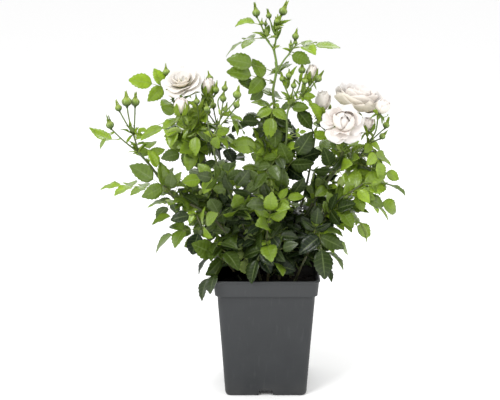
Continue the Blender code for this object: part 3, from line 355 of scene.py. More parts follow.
def ground_height(x, y):
    """The lie of the peat's surface at a place, in metres."""
    lumps = noise.fractal(Vector((x * 26, y * 26, 3.0)), 1.0, 2.0, 4)
    grains = noise.noise(Vector((x * 310, y * 310, 9.0)))
    edge = max(abs(x), abs(y)) / soil_half
    return SOIL_LEVEL - 0.001 + (lumps * SOIL_SWELL + grains * 0.0009) * min(1.0, (1.0 - edge) * 9 + 0.15)


for vertex in soil.data.vertices:
    x, y = vertex.co.x, vertex.co.y
    reach = max(abs(x), abs(y), 0.001)
    edge = Vector((x / reach, y / reach))
    over = Vector((max(abs(edge.x) - 1 + soil_corner, 0.0), max(abs(edge.y) - 1 + soil_corner, 0.0)))
    if over.x > 0 and over.y > 0:
        over = over.normalized() * soil_corner
        edge = Vector((math.copysign(1 - soil_corner + over.x, edge.x), math.copysign(1 - soil_corner + over.y, edge.y)))
    edge *= soil_half * reach
    vertex.co = (edge.x, edge.y, ground_height(edge.x, edge.y))
bpy.ops.object.mode_set(mode="EDIT")
bpy.ops.mesh.select_all(action="DESELECT")
bpy.ops.mesh.select_non_manifold()
near = soil_half
for far, height in ((soil_rim, soil_ledge), (BODY_TOP_WIDTH / 2 - INSET, SHOULDER + GAP),
                    (soil_foot, INSET + FOOT_ROUNDING), (soil_foot - FOOT_ROUNDING / 2, INSET)):
    bpy.ops.mesh.extrude_region_move(TRANSFORM_OT_translate={"value": (0, 0, -0.001)})
    bpy.ops.transform.resize(value=(far / near, far / near, 0), center_override=(0, 0, height))
    near = far
bpy.ops.mesh.edge_face_add()
bpy.ops.mesh.select_all(action="SELECT")
bpy.ops.mesh.normals_make_consistent(inside=False)
bpy.ops.object.mode_set(mode="OBJECT")
cut_foot_channels(soil, INSET)
make_active(soil)
bpy.ops.object.shade_smooth_by_angle(angle=math.radians(60))


class Bundle:
    """Gathers copies of small shapes into one mesh, with a UV map and a tone for each point."""

    def __init__(self):
        self.points = []
        self.faces = []
        self.uv = []
        self.tones = []
        self.slots = []

    def add(self, points, faces, tone=0.0, uv=None, slot=0):
        first = len(self.points)
        self.points += [tuple(point) for point in points]
        self.faces += [tuple(first + corner for corner in face) for face in faces]
        self.uv += uv if uv is not None else [(0.5, 0.5)] * sum(len(face) for face in faces)
        self.tones += [tone] * len(points)
        self.slots += [slot] * len(faces)

    def piece(self, name, finishes, slot, nodes=()):
        """The finished piece, riding on the pot and standing for the given nodes."""
        mesh = bpy.data.meshes.new(name)
        mesh.from_pydata(self.points, [], self.faces)
        mesh.uv_layers.new(name="UVMap").data.foreach_set("uv", [value for pair in self.uv for value in pair])
        mesh.attributes.new("tone", "FLOAT", "POINT").data.foreach_set("value", self.tones)
        mesh.polygons.foreach_set("material_index", self.slots)
        mesh.polygons.foreach_set("use_smooth", [True] * len(self.faces))
        for finish in finishes:
            mesh.materials.append(finish)
        piece = bpy.data.objects.new(name, mesh)
        bpy.context.scene.collection.objects.link(piece)
        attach(piece, "root")
        for node in nodes:
            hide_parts(node)
        return piece


def shape_of(piece):
    """The points, faces and UV corners of an object, which is then removed."""
    mesh = piece.data
    points = [vertex.co.copy() for vertex in mesh.vertices]
    faces = [tuple(face.vertices) for face in mesh.polygons]
    layer = mesh.uv_layers.active
    uv = [tuple(layer.data[corner].uv) for face in mesh.polygons for corner in face.loop_indices] if layer else None
    bpy.data.objects.remove(piece)
    return points, faces, uv


bpy.ops.mesh.primitive_ico_sphere_add(subdivisions=1, radius=1.0)
for vertex in bpy.context.object.data.vertices:
    vertex.co *= 1.0 + 0.35 * noise.noise(vertex.co * 2.3)
crumb_points, crumb_faces, _uv = shape_of(bpy.context.object)
chance = random.Random("crumbs")
crumbs = Bundle()
for index in range(CRUMBS):
    x, y = (chance.uniform(-0.97, 0.97) * (soil_half - 0.003) for _axis in range(2))
    size = 0.0006 + 0.0021 * chance.random() ** 3
    stretch = Vector((chance.uniform(0.8, 2.2), 1.0, chance.uniform(0.4, 0.8))) * size
    if math.hypot(max(abs(x) - soil_half + 0.012, 0), max(abs(y) - soil_half + 0.012, 0)) > 0.009:
        continue
    turn = Matrix.Rotation(chance.uniform(0, math.tau), 3, "Z") @ Matrix.Rotation(chance.uniform(-0.5, 0.5), 3, "X")
    place = Vector((x, y, ground_height(x, y) + size * 0.15))
    crumbs.add([place + turn @ (point * stretch) for point in crumb_points], crumb_faces, chance.random())

soil_finish, tree, shader = new_finish("damp_peat", 0.95, 0.2)
where = wire(tree, "ShaderNodeTexCoord").outputs["Object"]
brown, blotch = uneven(tree, colour(0.0060, 0.0046, 0.0036), colour(0.019, 0.014, 0.010), 120.0, 0.8)
tree.links.new(brown, shader.inputs["Base Color"])
fibres = wire(tree, "ShaderNodeTexNoise", {"Vector": where, "Scale": 700.0, "Detail": 4.0}).outputs["Fac"]
bumped(tree, shader, fibres, 0.0008)
soil.data.materials.append(soil_finish)
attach(soil, "root")
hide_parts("soil")

crumb_finish, tree, shader = new_finish("bark_crumbs", 0.9, 0.2)
tone = wire(tree, "ShaderNodeAttribute", attribute_name="tone").outputs["Fac"]
tree.links.new(mixed(tree, tone, colour(0.007, 0.005, 0.004), colour(0.040, 0.027, 0.018)), shader.inputs["Base Color"])
crumbs.piece("peat_crumbs", [crumb_finish], "soil")

# The canes. Thirteen green canes rise from the peat and fork into shoots: smooth, a little swollen at each fork,
# brown-green and woody low down, fresh green above, with hooked thorns. Routes are in millimetres.
# Each cane has its route from the peat up, its shoots and its leaves. A shoot is (route, radius at its foot, radius
# at its end, what it carries). A leaf is (tip, blade length, pairs of side leaflets, way it faces, arch).
CANES = {
    "centre": {
        "cane": [(4, 2, 206), (9, 3, 290), (20, 5, 377), (19, 5, 429), (19, 5, 474), (14, 5, 519),
                 (12, 5, 546), (18, 5, 585), (13, 5, 618)],
        "radius": (4.6, 2.0),
        "shoots": [
            ([(13, 5, 618), (-1, 0, 638), (-8, -5, 658), (-17, -8, 676)], 1.7, 1.1, ("bud", 6.0, (-3, 0, 20))),
            ([(13, 5, 618), (17, 8, 637), (18, 8, 651), (26, 12, 676)], 1.7, 1.1, ("bud", 6.4, (8, 3, 20))),
            ([(17, 8, 637), (10, 3, 658), (5, 0, 672)], 1.1, 0.9, ("bud", 4.4, (-3, 0, 14))),
            ([(18, 8, 651), (17, -3, 663)], 1.1, 0.9, ("bud", 4.2, (2, -2, 14))),
            ([(-1, 0, 638), (-9, -10, 662)], 1.0, 0.9, ("bud", 3.2, (1, -2, 10))),
            ([(-1, 0, 638), (-2, 6, 658)], 1.0, 0.9, ("bud", 3.2, (1, 1, 10))),
            ([(18, 5, 578), (31, 0, 600), (41, -3, 614), (49, -5, 636)], 1.8, 1.1, ("bud", 5.2, (3, 0, 16))),
            ([(41, -3, 614), (42, -13, 626)], 1.0, 0.9, ("bud", 2.8, (0, -2, 9))),
            ([(41, -3, 614), (51, 7, 625)], 1.0, 0.9, ("bud", 2.8, (1, 2, 9))),
        ],
        "leaves": [
            ((-56, -10, 661), 36, 0, "up", 0.10), ((129, -5, 623), 44, 1, "up", 0.06),
            ((-72, 8, 604), 40, 1, "up", 0.14), ((-70, -14, 582), 44, 1, "front", 0.08),
            ((-43, -28, 566), 38, 1, "front", 0.05), ((-27, 0, 527), 36, 0, "up", 0.12),
            ((63, 0, 524), 42, 0, "up", 0.10), ((-8, -6, 508), 24, 0, "front", 0.08),
            ((-6, 14, 484), 24, 0, "up", 0.08), ((-8, -15, 477), 18, 0, "up", 0.08),
            ((31, -10, 479), 16, 0, "up", 0.08), ((-44, -15, 492), 38, 1, "up", 0.12),
            ((-66, -32, 455), 50, 1, "front", 0.10), ((98, -14, 440), 48, 1, "front", 0.10),
            ((60, 50, 470), 40, 1, "right", 0.12), ((-10, 70, 540), 38, 1, "back", 0.12),
            ((40, 62, 585), 34, 1, "back", 0.10), ((-15, 64, 430), 42, 1, "back", 0.14),
        ],
    },
    "second": {
        "cane": [(24, -22, 206), (26, -22, 290), (25, -22, 352), (30, -25, 408), (33, -25, 445),
                 (36, -25, 472), (36, -22, 506), (43, -17, 530)],
        "radius": (3.4, 1.7),
        "shoots": [
            ([(43, -17, 530), (62, -15, 537), (86, -18, 565)], 1.4, 1.1, ("bud", 5.6, (11, 0, 15))),
            ([(43, -17, 530), (34, -22, 552), (28, -24, 566)], 1.2, 0.9, ("bud", 4.4, (-2, -2, 14))),
            ([(34, -22, 552), (38, -28, 572)], 1.1, 0.9, ("bud", 4.6, (1, -2, 14))),
            ([(43, -17, 530), (46, -34, 556)], 1.2, 0.9, ("bud", 4.4, (2, -3, 13))),
            ([(43, -17, 530), (56, -10, 552), (62, -4, 576)], 1.2, 1.0, ("bud", 5.6, (0, 2, 17))),
            ([(62, -15, 537), (66, -26, 562)], 1.1, 0.9, ("bud", 4.6, (1, -2, 14))),
            ([(62, -15, 537), (76, 0, 556)], 1.2, 1.2, ("opening", "opening_rose_centre", 8.0, (4, 2, 22))),
        ],
        "leaves": [
            ((85, -26, 541), 22, 0, "front", 0.06), ((80, -34, 480), 48, 1, "front", 0.08),
            ((94, -40, 500), 38, 0, "up", 0.10), ((112, -30, 470), 30, 0, "front", 0.05),
            ((29, -54, 418), 40, 1, "front", 0.10), ((66, -62, 404), 42, 1, "front", 0.12),
            ((-8, -58, 396), 42, 1, "front", 0.12),
        ],
    },
    "left": {
        "cane": [(-26, -6, 206), (-50, -16, 262), (-92, -24, 318), (-135, -30, 348), (-163, -34, 361),
                 (-187, -38, 396), (-204, -40, 421), (-223, -40, 443)],
        "radius": (3.8, 2.0),
        "shoots": [
            ([(-223, -40, 443), (-231, -36, 472), (-238, -36, 498), (-242, -35, 524)], 1.6, 1.1,
             ("bud", 7.4, (-1, 0, 22))),
            ([(-231, -36, 472), (-230, -27, 498), (-229, -24, 522)], 1.3, 1.1, ("bud", 6.6, (1, 1, 20))),
            ([(-231, -36, 472), (-244, -44, 498), (-254, -46, 518)], 1.2, 1.0, ("bud", 5.2, (-5, 0, 16))),
            ([(-223, -40, 443), (-248, -54, 468), (-268, -60, 490)], 1.5, 1.1, ("bud", 6.0, (-5, 0, 20))),
        ],
        "leaves": [
            ((-308, -46, 492), 46, 0, "up", -0.16), ((-292, -66, 458), 26, 0, "up", 0.10),
            ((-206, -46, 484), 18, 0, "left", 0.10), ((-213, -58, 478), 20, 0, "front", 0.10),
            ((-241, -46, 424), 48, 1, "front", 0.10), ((-165, -50, 412), 34, 0, "front", 0.06),
            ((-305, -16, 368), 45, 3, "up", 0.05), ((-208, -56, 356), 40, 1, "up", 0.08),
            ((-222, -34, 440), 44, 0, "front", 0.08), ((-170, 30, 400), 40, 1, "left", 0.12),
            ((-150, 26, 330), 40, 1, "left", 0.12), ((-205, 22, 452), 36, 1, "back", 0.12),
        ],
    },
    "bloom_left": {
        "cane": [(-20, 20, 206), (-46, 16, 262), (-74, 12, 316), (-101, 14, 371), (-113, 18, 416),
                 (-127, 22, 458)],
        "radius": (3.6, 2.2),
        "shoots": [
            ([(-127, 22, 458), (-140, 18, 492), (-143, 14, 541)], 1.9, 2.0,
             ("bloom", "rose_left", (-6, -16, 30))),
            ([(-127, 22, 458), (-158, 30, 500), (-170, 32, 545), (-176, 32, 566)], 1.4, 1.0,
             ("bud", 5.8, (-2, 0, 18))),
            ([(-127, 22, 458), (-110, 14, 500), (-104, 10, 528)], 1.4, 1.2,
             ("opening", "opening_rose_bud_cluster", 9.4, (2, 0, 24))),
            ([(-110, 14, 500), (-96, 24, 540), (-99, 26, 556)], 1.1, 0.9, ("bud", 5.6, (-3, 2, 16))),
            ([(-110, 14, 500), (-90, 4, 540)], 1.1, 0.9, ("bud", 5.4, (3, 0, 18))),
            ([(-127, 22, 458), (-119, -8, 496), (-121, -27, 526)], 1.2, 1.0, ("bud", 4.8, (-1, -2, 14))),
            ([(-140, 18, 492), (-142, -20, 488), (-147, -42, 504)], 1.3, 1.3,
             ("opening", "opening_rose_left", 11.0, (-1, -4, 24))),
        ],
        "leaves": [
            ((-244, 22, 561), 42, 1, "front", 0.10), ((-224, 6, 455), 46, 1, "up", 0.10),
            ((-186, -10, 520), 28, 0, "front", 0.06), ((-150, -44, 446), 38, 1, "front", 0.08),
            ((-186, 4, 474), 32, 0, "front", 0.08), ((-120, 90, 500), 38, 1, "back", 0.12),
            ((-180, 78, 430), 42, 1, "back", 0.12), ((-140, 88, 370), 42, 1, "back", 0.14),
        ],
    },
    "mid_left": {
        "cane": [(-10, -28, 206), (-24, -36, 262), (-46, -46, 326), (-70, -54, 388), (-88, -60, 435),
                 (-94, -60, 474)],
        "radius": (3.2, 1.8),
        "shoots": [
            ([(-94, -60, 474), (-100, -64, 493), (-102, -65, 520)], 1.1, 1.0, ("bud", 4.8, (-1, 0, 14))),
            ([(-94, -60, 474), (-84, -56, 490), (-79, -55, 513), (-75, -55, 536)], 1.4, 1.0,
             ("bud", 5.0, (1, 0, 15))),
            ([(-79, -55, 513), (-84, -46, 536), (-73, -42, 552)], 1.1, 0.9, ("bud", 4.6, (2, 1, 14))),
            ([(-84, -56, 490), (-67, -52, 509), (-54, -48, 524)], 1.2, 1.0, ("bud", 5.0, (5, 1, 13))),
            ([(-79, -55, 513), (-62, -64, 530), (-52, -68, 544)], 1.2, 1.1, ("bud", 6.2, (3, -1, 18))),
        ],
        "leaves": [
            ((-83, -84, 482), 30, 0, "front", 0.05), ((-66, -50, 492), 26, 0, "front", 0.08),
            ((-60, -90, 448), 40, 1, "up", 0.12), ((-40, -60, 505), 24, 0, "up", 0.08),
            ((-145, -74, 389), 38, 1, "front", 0.08), ((-120, -104, 420), 36, 1, "front", 0.12),
            ((-56, -108, 386), 40, 1, "front", 0.12), ((-30, -86, 424), 38, 1, "front", 0.12),
        ],
    },
    "bloom_right": {
        "cane": [(22, 14, 206), (40, 13, 250), (62, 10, 297), (83, 5, 336), (105, 0, 375), (123, -5, 404),
                 (135, -12, 438)],
        "radius": (4.2, 2.6),
        "shoots": [
            ([(135, -12, 438), (139, -26, 464), (131, -42, 489)], 2.1, 2.2,
             ("bloom", "rose_front", (2, -26, 20))),
            ([(135, -12, 438), (150, 6, 466), (160, 22, 497)], 2.1, 2.3,
             ("bloom", "rose_upper", (7, -2, 32))),
            ([(135, -12, 438), (112, 8, 466), (98, 16, 496)], 1.6, 1.5,
             ("opening", "opening_rose_beside", 13.0, (3, 1, 30))),
            ([(123, -5, 404), (152, -6, 418), (171, -10, 438), (178, -11, 452), (178, -11, 468)], 1.8, 1.4,
             ("opening", "opening_rose_right", 10.6, (0, -4, 20))),
            ([(178, -11, 452), (190, -32, 478), (194, -32, 503)], 1.4, 1.4,
             ("opening", "opening_rose_far_right", 12.0, (8, -2, 20))),
            ([(178, -11, 452), (200, -2, 470), (210, 1, 478)], 1.2, 1.0, ("bud", 5.2, (6, 0, 17))),
            ([(178, -11, 452), (200, -21, 464)], 1.1, 1.0, ("bud", 5.0, (10, -2, 13))),
            ([(112, 8, 466), (94, 2, 484)], 1.1, 1.0, ("bud", 4.6, (-3, -3, 14))),
        ],
        "leaves": [
            ((92, -6, 412), 34, 1, "up", 0.10), ((100, -42, 452), 38, 1, "front", 0.10),
            ((160, -44, 436), 34, 0, "front", 0.08), ((222, -14, 413), 26, 1, "up", 0.08),
            ((158, 74, 440), 42, 1, "back", 0.12), ((210, 60, 400), 42, 1, "back", 0.12),
            ((120, 80, 490), 40, 1, "back", 0.12), ((120, 74, 380), 42, 1, "back", 0.14),
            ((150, -46, 420), 36, 0, "front", 0.08),
        ],
    },
    "right": {
        "cane": [(44, -12, 206), (60, -18, 250), (82, -24, 297), (113, -36, 340), (132, -42, 362),
                 (152, -47, 377), (168, -51, 390)],
        "radius": (3.0, 1.5),
        "shoots": [],
        "leaves": [
            ((138, -82, 402), 38, 0, "front", 0.08), ((212, -26, 404), 44, 1, "front", 0.10),
            ((256, -36, 372), 42, 1, "up", 0.10), ((157, -78, 354), 38, 1, "front", 0.08),
            ((226, -62, 333), 48, 1, "up", 0.12), ((174, -70, 338), 40, 1, "up", 0.10),
            ((182, -66, 292), 42, 1, "right", 0.14), ((150, -90, 320), 36, 0, "front", 0.10),
            ((192, 16, 350), 42, 1, "right", 0.12), ((170, 24, 300), 42, 1, "right", 0.14),
        ],
    },
    "low_left": {
        "cane": [(-46, -28, 206), (-66, -42, 238), (-90, -54, 270), (-110, -60, 306), (-122, -62, 336)],
        "radius": (2.8, 1.4),
        "shoots": [],
        "leaves": [
            ((-201, -64, 319), 36, 0, "left", 0.12), ((-168, -78, 332), 34, 0, "front", 0.12),
            ((-196, -60, 266), 44, 1, "left", 0.20), ((-134, -100, 286), 52, 1, "front", 0.06),
            ((-131, -66, 262), 44, 0, "front", 0.14), ((-48, -112, 250), 42, 1, "front", 0.14),
            ((-88, -112, 200), 44, 0, "left", 0.10), ((-114, -88, 186), 40, 0, "left", 0.16),
            ((-122, -62, 226), 36, 0, "left", 0.14), ((-166, -40, 300), 40, 1, "left", 0.14),
            ((-60, -120, 300), 40, 1, "front", 0.12), ((-84, -112, 352), 38, 1, "front", 0.10),
        ],
    },
    "low_right": {
        "cane": [(50, -48, 206), (62, -58, 240), (78, -68, 280), (90, -72, 320), (98, -72, 350)],
        "radius": (2.8, 1.4),
        "shoots": [],
        "leaves": [
            ((101, -122, 236), 52, 1, "front", 0.10), ((137, -98, 248), 44, 0, "right", 0.12),
            ((133, -92, 298), 40, 0, "right", 0.12), ((114, -104, 226), 36, 0, "right", 0.14),
            ((90, -118, 352), 38, 1, "front", 0.10), ((148, -60, 262), 40, 1, "right", 0.14),
        ],
    },
    "low_front": {
        "cane": [(2, -56, 206), (4, -64, 246), (0, -70, 290), (6, -70, 336), (12, -66, 380)],
        "radius": (2.6, 1.3),
        "shoots": [],
        "leaves": [
            ((9, -104, 388), 38, 1, "front", 0.06), ((-4, -112, 358), 38, 0, "front", 0.08),
            ((-34, -104, 366), 38, 0, "front", 0.10), ((-18, -118, 334), 42, 0, "front", 0.08),
            ((40, -112, 352), 36, 0, "front", 0.10), ((9, -122, 268), 44, 0, "front", 0.08),
            ((30, -108, 240), 40, 0, "right", 0.12), ((-26, -100, 222), 42, 1, "front", 0.12),
            ((49, -88, 240), 38, 0, "front", 0.12), ((30, -120, 312), 42, 1, "front", 0.12),
        ],
    },
    "back_left": {
        "cane": [(-38, 46, 206), (-54, 62, 262), (-70, 82, 330), (-84, 100, 400), (-90, 110, 460)],
        "radius": (3.4, 1.6),
        "shoots": [
            ([(-90, 110, 460), (-96, 118, 490)], 1.2, 1.0, ("bud", 5.4, (-3, 3, 18))),
            ([(-90, 110, 460), (-76, 118, 484)], 1.1, 0.9, ("bud", 4.6, (4, 3, 14))),
            ([(-90, 110, 460), (-104, 104, 482)], 1.1, 0.9, ("bud", 4.6, (-6, -1, 14))),
        ],
        "leaves": [
            ((-168, 122, 420), 42, 1, "left", 0.12), ((-110, 186, 420), 44, 1, "back", 0.12),
            ((-40, 176, 380), 44, 1, "back", 0.12), ((-150, 118, 330), 44, 2, "left", 0.14),
            ((-60, 160, 290), 44, 1, "back", 0.14), ((-128, 96, 270), 42, 1, "left", 0.16),
            ((-30, 130, 460), 38, 1, "back", 0.12), ((-80, 132, 236), 40, 1, "back", 0.16),
        ],
    },
    "back_right": {
        "cane": [(38, 46, 206), (52, 62, 262), (70, 82, 326), (84, 98, 388), (92, 108, 440)],
        "radius": (3.4, 1.6),
        "shoots": [
            ([(92, 108, 440), (98, 118, 468)], 1.2, 1.0, ("bud", 5.2, (3, 3, 17))),
            ([(92, 108, 440), (82, 100, 464)], 1.1, 0.9, ("bud", 4.4, (-4, -2, 13))),
        ],
        "leaves": [
            ((166, 126, 400), 44, 1, "right", 0.12), ((110, 184, 400), 44, 1, "back", 0.12),
            ((40, 172, 372), 44, 1, "back", 0.12), ((154, 112, 320), 44, 2, "right", 0.14),
            ((64, 162, 286), 44, 1, "back", 0.14), ((130, 92, 262), 42, 1, "right", 0.16),
            ((34, 128, 440), 38, 1, "back", 0.12), ((84, 132, 232), 40, 1, "back", 0.16),
        ],
    },
    "back_centre": {
        "cane": [(0, 58, 206), (-2, 74, 262), (0, 92, 322), (4, 106, 380)],
        "radius": (3.0, 1.5),
        "shoots": [],
        "leaves": [
            ((-20, 180, 340), 44, 1, "back", 0.12), ((36, 176, 318), 42, 1, "back", 0.12),
            ((0, 154, 260), 42, 1, "back", 0.14), ((-44, 130, 330), 40, 1, "back", 0.12),
            ((4, 160, 426), 40, 1, "back", 0.12), ((6, 118, 222), 38, 1, "back", 0.16),
        ],
    },
}
ROOT_DEPTH = 0.045
ROUTE_STEP = 0.004
CANE_SIDES = 8
SWELLING = 0.22
SWELLING_REACH = 0.004
SLIMMEST = 0.00125
THORN_STEP = 0.019


def millimetres(point):
    return Vector(point) * 0.001


def smooth_route(stops, step=ROUTE_STEP):
    """Points of a smooth curve through the stops, as a list of (point, share of the way)."""
    padded = [stops[0] * 2 - stops[1]] + list(stops) + [stops[-1] * 2 - stops[-2]]
    route = []
    for before, start, end, after in zip(padded, padded[1:], padded[2:], padded[3:]):
        steps = max(int((end - start).length / step), 2)
        for index in range(steps):
            t = index / steps
            route.append(0.5 * (start * 2 + (end - before) * t + (before * 2 - start * 5 + end * 4 - after) * t ** 2
                                + (start * 3 - before - end * 3 + after) * t ** 3))
    route.append(stops[-1])
    lengths = [0.0]
    for first, second in zip(route, route[1:]):
        lengths.append(lengths[-1] + (second - first).length)
    return [(point, length / lengths[-1]) for point, length in zip(route, lengths)]


def stretches_of(data):
    """A cane and its shoots as (stops, first radius, last radius), in metres."""
    root = millimetres(data["cane"][0])
    heading = (millimetres(data["cane"][1]) - root).normalized()
    stops = [root - heading * ROOT_DEPTH] + [millimetres(point) for point in data["cane"]]
    stretches = [(stops, data["radius"][0] * 0.001, data["radius"][1] * 0.001)]
    for route, start, end, _load in data["shoots"]:
        stretches.append(([millimetres(point) for point in route], start * 0.001, end * 0.001))
    return stretches


def draw_tubes(name, routes, sides):
    """A mesh of round tubes, one for each route of (point, radius)."""
    curve = bpy.data.curves.new(name, "CURVE")
    curve.dimensions = "3D"
    curve.bevel_depth = 1.0
    curve.bevel_resolution = (sides - 4) // 2
    curve.use_fill_caps = True
    for route in routes:
        spline = curve.splines.new("POLY")
        spline.points.add(len(route) - 1)
        for place, (point, radius) in zip(spline.points, route):
            place.co = (*point, 1.0)
            place.radius = radius
    tubes = bpy.data.objects.new(name, curve)
    bpy.context.scene.collection.objects.link(tubes)
    make_active(tubes)
    bpy.ops.object.convert(target="MESH")
    bpy.ops.object.mode_set(mode="EDIT")
    bpy.ops.mesh.select_all(action="SELECT")
    bpy.ops.mesh.remove_doubles(threshold=0.00001)
    bpy.ops.mesh.normals_make_consistent(inside=False)
    bpy.ops.object.mode_set(mode="OBJECT")
    return bpy.context.object


def turned_frame(axis, turn=0.0):
    """A turn of the axes that takes +Z to the axis."""
    upward = axis.normalized()
    helper = Vector((0, 0, 1)) if abs(upward.z) < 0.95 else Vector((0, 1, 0))
    across = helper.cross(upward).normalized()
    frame = Matrix((across, upward.cross(across), upward)).transposed()
    return frame @ Matrix.Rotation(turn, 3, "Z")


# One thorn: a flattened hook with a broad foot, its point drawn down the cane.
bpy.ops.object.select_all(action="DESELECT")
bpy.ops.mesh.primitive_circle_add(vertices=6, radius=1.0, fill_type="NGON")
bpy.ops.object.mode_set(mode="EDIT")
for rise, drop, width in ((0.6, -0.25, 0.62), (0.8, -0.55, 0.55), (0.9, -0.95, 0.1)):
    bpy.ops.mesh.extrude_region_move(TRANSFORM_OT_translate={"value": (0, drop, rise)})
    bpy.ops.transform.resize(value=(width, width, 1))
bpy.ops.mesh.select_all(action="SELECT")
bpy.ops.mesh.normals_make_consistent(inside=False)
bpy.ops.object.mode_set(mode="OBJECT")
thorn_points, thorn_faces, _uv = shape_of(bpy.context.object)
thorn_points = [Vector((point.x * 0.45, point.y, point.z)) for point in thorn_points]

bark_finish, tree, shader = new_finish("green_bark", 0.48, 0.45)
where = wire(tree, "ShaderNodeTexCoord").outputs["Object"]
height = wire(tree, "ShaderNodeSeparateXYZ", {0: where}).outputs["Z"]
streaks = wire(tree, "ShaderNodeTexNoise", {"Vector": wire(tree, "ShaderNodeMapping", {
    "Vector": where, "Scale": (1.0, 1.0, 0.12)}).outputs[0], "Scale": 420.0, "Detail": 3.0}).outputs["Fac"]
green = mixed(tree, in_range(tree, height, 0.42, 0.60), colour(0.040, 0.072, 0.014), colour(0.140, 0.250, 0.034))
green = mixed(tree, in_range(tree, height, 0.42, 0.21), green, colour(0.024, 0.034, 0.012))
green, blotch = uneven(tree, green, colour(0.135, 0.075, 0.032), 55.0, 0.30)
green = mixed(tree, maths(tree, "MULTIPLY", in_range(tree, streaks, 0.45, 0.75), 0.35), green,
              colour(0.20, 0.21, 0.10))
tree.links.new(green, shader.inputs["Base Color"])
bumped(tree, shader, streaks, 0.00015)

thorn_finish, tree, shader = new_finish("red_thorn", 0.4, 0.5)
red, blotch = uneven(tree, colour(0.17, 0.055, 0.022), colour(0.16, 0.19, 0.06), 150.0, 0.9)
tree.links.new(red, shader.inputs["Base Color"])

smooth_points = {}
for name, data in CANES.items():
    chance = random.Random(name + " thorns")
    routes = []
    thorns = Bundle()
    followed = []
    for number, (stops, first, last) in enumerate(stretches_of(data)):
        forks = [millimetres(shoot[0][0]) for shoot in data["shoots"]] + [stops[0]]
        route = []
        walked = 0.0
        for point, share in smooth_route(stops):
            near = min((point - fork).length for fork in forks)
            radius = max(first + (last - first) * share, SLIMMEST)
            radius *= 1 + SWELLING * math.exp(-(near / SWELLING_REACH) ** 2)
            if route:
                walked += (point - route[-1][0]).length
                long_enough = walked > THORN_STEP * chance.uniform(0.6, 1.6)
                if long_enough and point.z > SOIL_LEVEL + 0.02 and radius > 0.0012 and number < 3 and share < 0.92:
                    walked = 0.0
                    along_cane = (point - route[-1][0]).normalized()
                    out = turned_frame(along_cane) @ Matrix.Rotation(chance.uniform(0, math.tau), 3, "Z")
                    out = out @ Matrix(((0, 1, 0), (0, 0, 1), (1, 0, 0))).transposed()
                    size = chance.uniform(0.0011, 0.0019) * (0.5 + 0.5 * min(radius / 0.003, 1.0))
                    spot = point + out @ Vector((0, 0, radius * 0.8))
                    thorns.add([spot + out @ (corner * size) for corner in thorn_points], thorn_faces)
            route.append((point, radius))
            if point.z > SOIL_LEVEL:
                followed.append(point)
        routes.append(route)
    cane = draw_tubes("cane_" + name, routes, CANE_SIDES)
    cane.data.materials.append(bark_finish)
    make_active(cane)
    bpy.ops.object.shade_smooth_by_angle(angle=math.radians(50))
    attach(cane, "root")
    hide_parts("leafy_stem_" + name)
    thorns.piece("thorns_" + name, [thorn_finish], "leaves")
    smooth_points[name] = followed

# The leaves. Each is a thin stalk with a pair of pointed stipules at its foot, one leaflet at its end and one to
# three pairs beside it. A leaflet is a thin folded blade with a saw-toothed edge, dark and glossy above and paler
# below, and the youngest are yellow-green. Sizes of leaflets are shares of the end leaflet's length.
FACES = {
    "up": (0.0, -0.15, 1.0),
    "front": (0.0, -0.85, 0.55),
    "left": (-0.75, -0.3, 0.6),
    "right": (0.75, -0.3, 0.6),
    "back": (0.0, 0.7, 0.7),
}
LEAFLET_ASPECT = 0.66
SIDE_LEAFLET_ANGLE = math.radians(58)
SIDE_LEAFLET_SIZE = (0.88, 0.74)
SIDE_LEAFLET_DROOP = 0.16
PAIR_SPACING = 0.56
TIP_SPACING = 0.46
PLACED_TRIES = [(0, 0, 0, 1.0), (0, 6, 0, 1.0), (0, -6, 0, 1.0), (8, 0, 0, 1.0), (-8, 0, 0, 1.0),
                (0, 0, 25, 1.0), (0, 0, -25, 1.0), (8, 6, 20, 0.92), (-8, 6, -20, 0.92), (8, -6, -20, 0.92),
                (-8, -6, 20, 0.92), (0, 12, 0, 0.85), (0, -12, 0, 0.85), (15, 0, 0, 0.85), (-15, 0, 0, 0.85),
                (0, 0, 50, 0.85), (0, 0, -50, 0.85), (20, 10, 0, 0.8), (-20, 10, 0, 0.8), (0, 18, 30, 0.8),
                (22, -12, 0, 0.75), (-22, -12, 0, 0.75)]
BLADE_ROWS = 14
BLADE_COLUMNS = 4
BLADE_OUTLINE = [(0.0, 0.0), (0.05, 0.13), (0.14, 0.24), (0.28, 0.31), (0.42, 0.335), (0.56, 0.315), (0.70, 0.255),
                 (0.84, 0.155), (0.94, 0.055), (1.0, 0.0)]
TOOTH_DEPTH = 0.06
TOOTH_LEAN = 0.022
BLADE_THICKNESS = 0.0003
STALK_RADIUS = (0.0008, 0.00045)
ON_THE_SPOT = 0.0025


def outline_at(outline, share):
    """The height of a line through the (place, height) points at a share."""
    for (start, low), (end, high) in zip(outline, outline[1:]):
        if share <= end:
            return low + (high - low) * (share - start) / (end - start)
    return outline[-1][1]


# One leaflet, flat and of unit length, from a grid drawn in to its outline with its teeth on every other row.
bpy.ops.object.select_all(action="DESELECT")
bpy.ops.mesh.primitive_grid_add(x_subdivisions=BLADE_COLUMNS, y_subdivisions=BLADE_ROWS, size=2.0)
for vertex in bpy.context.object.data.vertices:
    across, share = vertex.co.x, (vertex.co.y + 1) / 2
    row = round(share * BLADE_ROWS)
    half = outline_at(BLADE_OUTLINE, share)
    if abs(across) > 0.9 and 0 < row < BLADE_ROWS:
        half *= 1 + (TOOTH_DEPTH if row % 2 else -TOOTH_DEPTH)
        share += TOOTH_LEAN if row % 2 else 0.0
    vertex.co = (across * half, share, 0.0)
bpy.ops.object.mode_set(mode="EDIT")
bpy.ops.mesh.select_all(action="SELECT")
bpy.ops.mesh.remove_doubles(threshold=0.0001)
bpy.ops.object.mode_set(mode="OBJECT")
blade_points, blade_faces, blade_uv = shape_of(bpy.context.object)


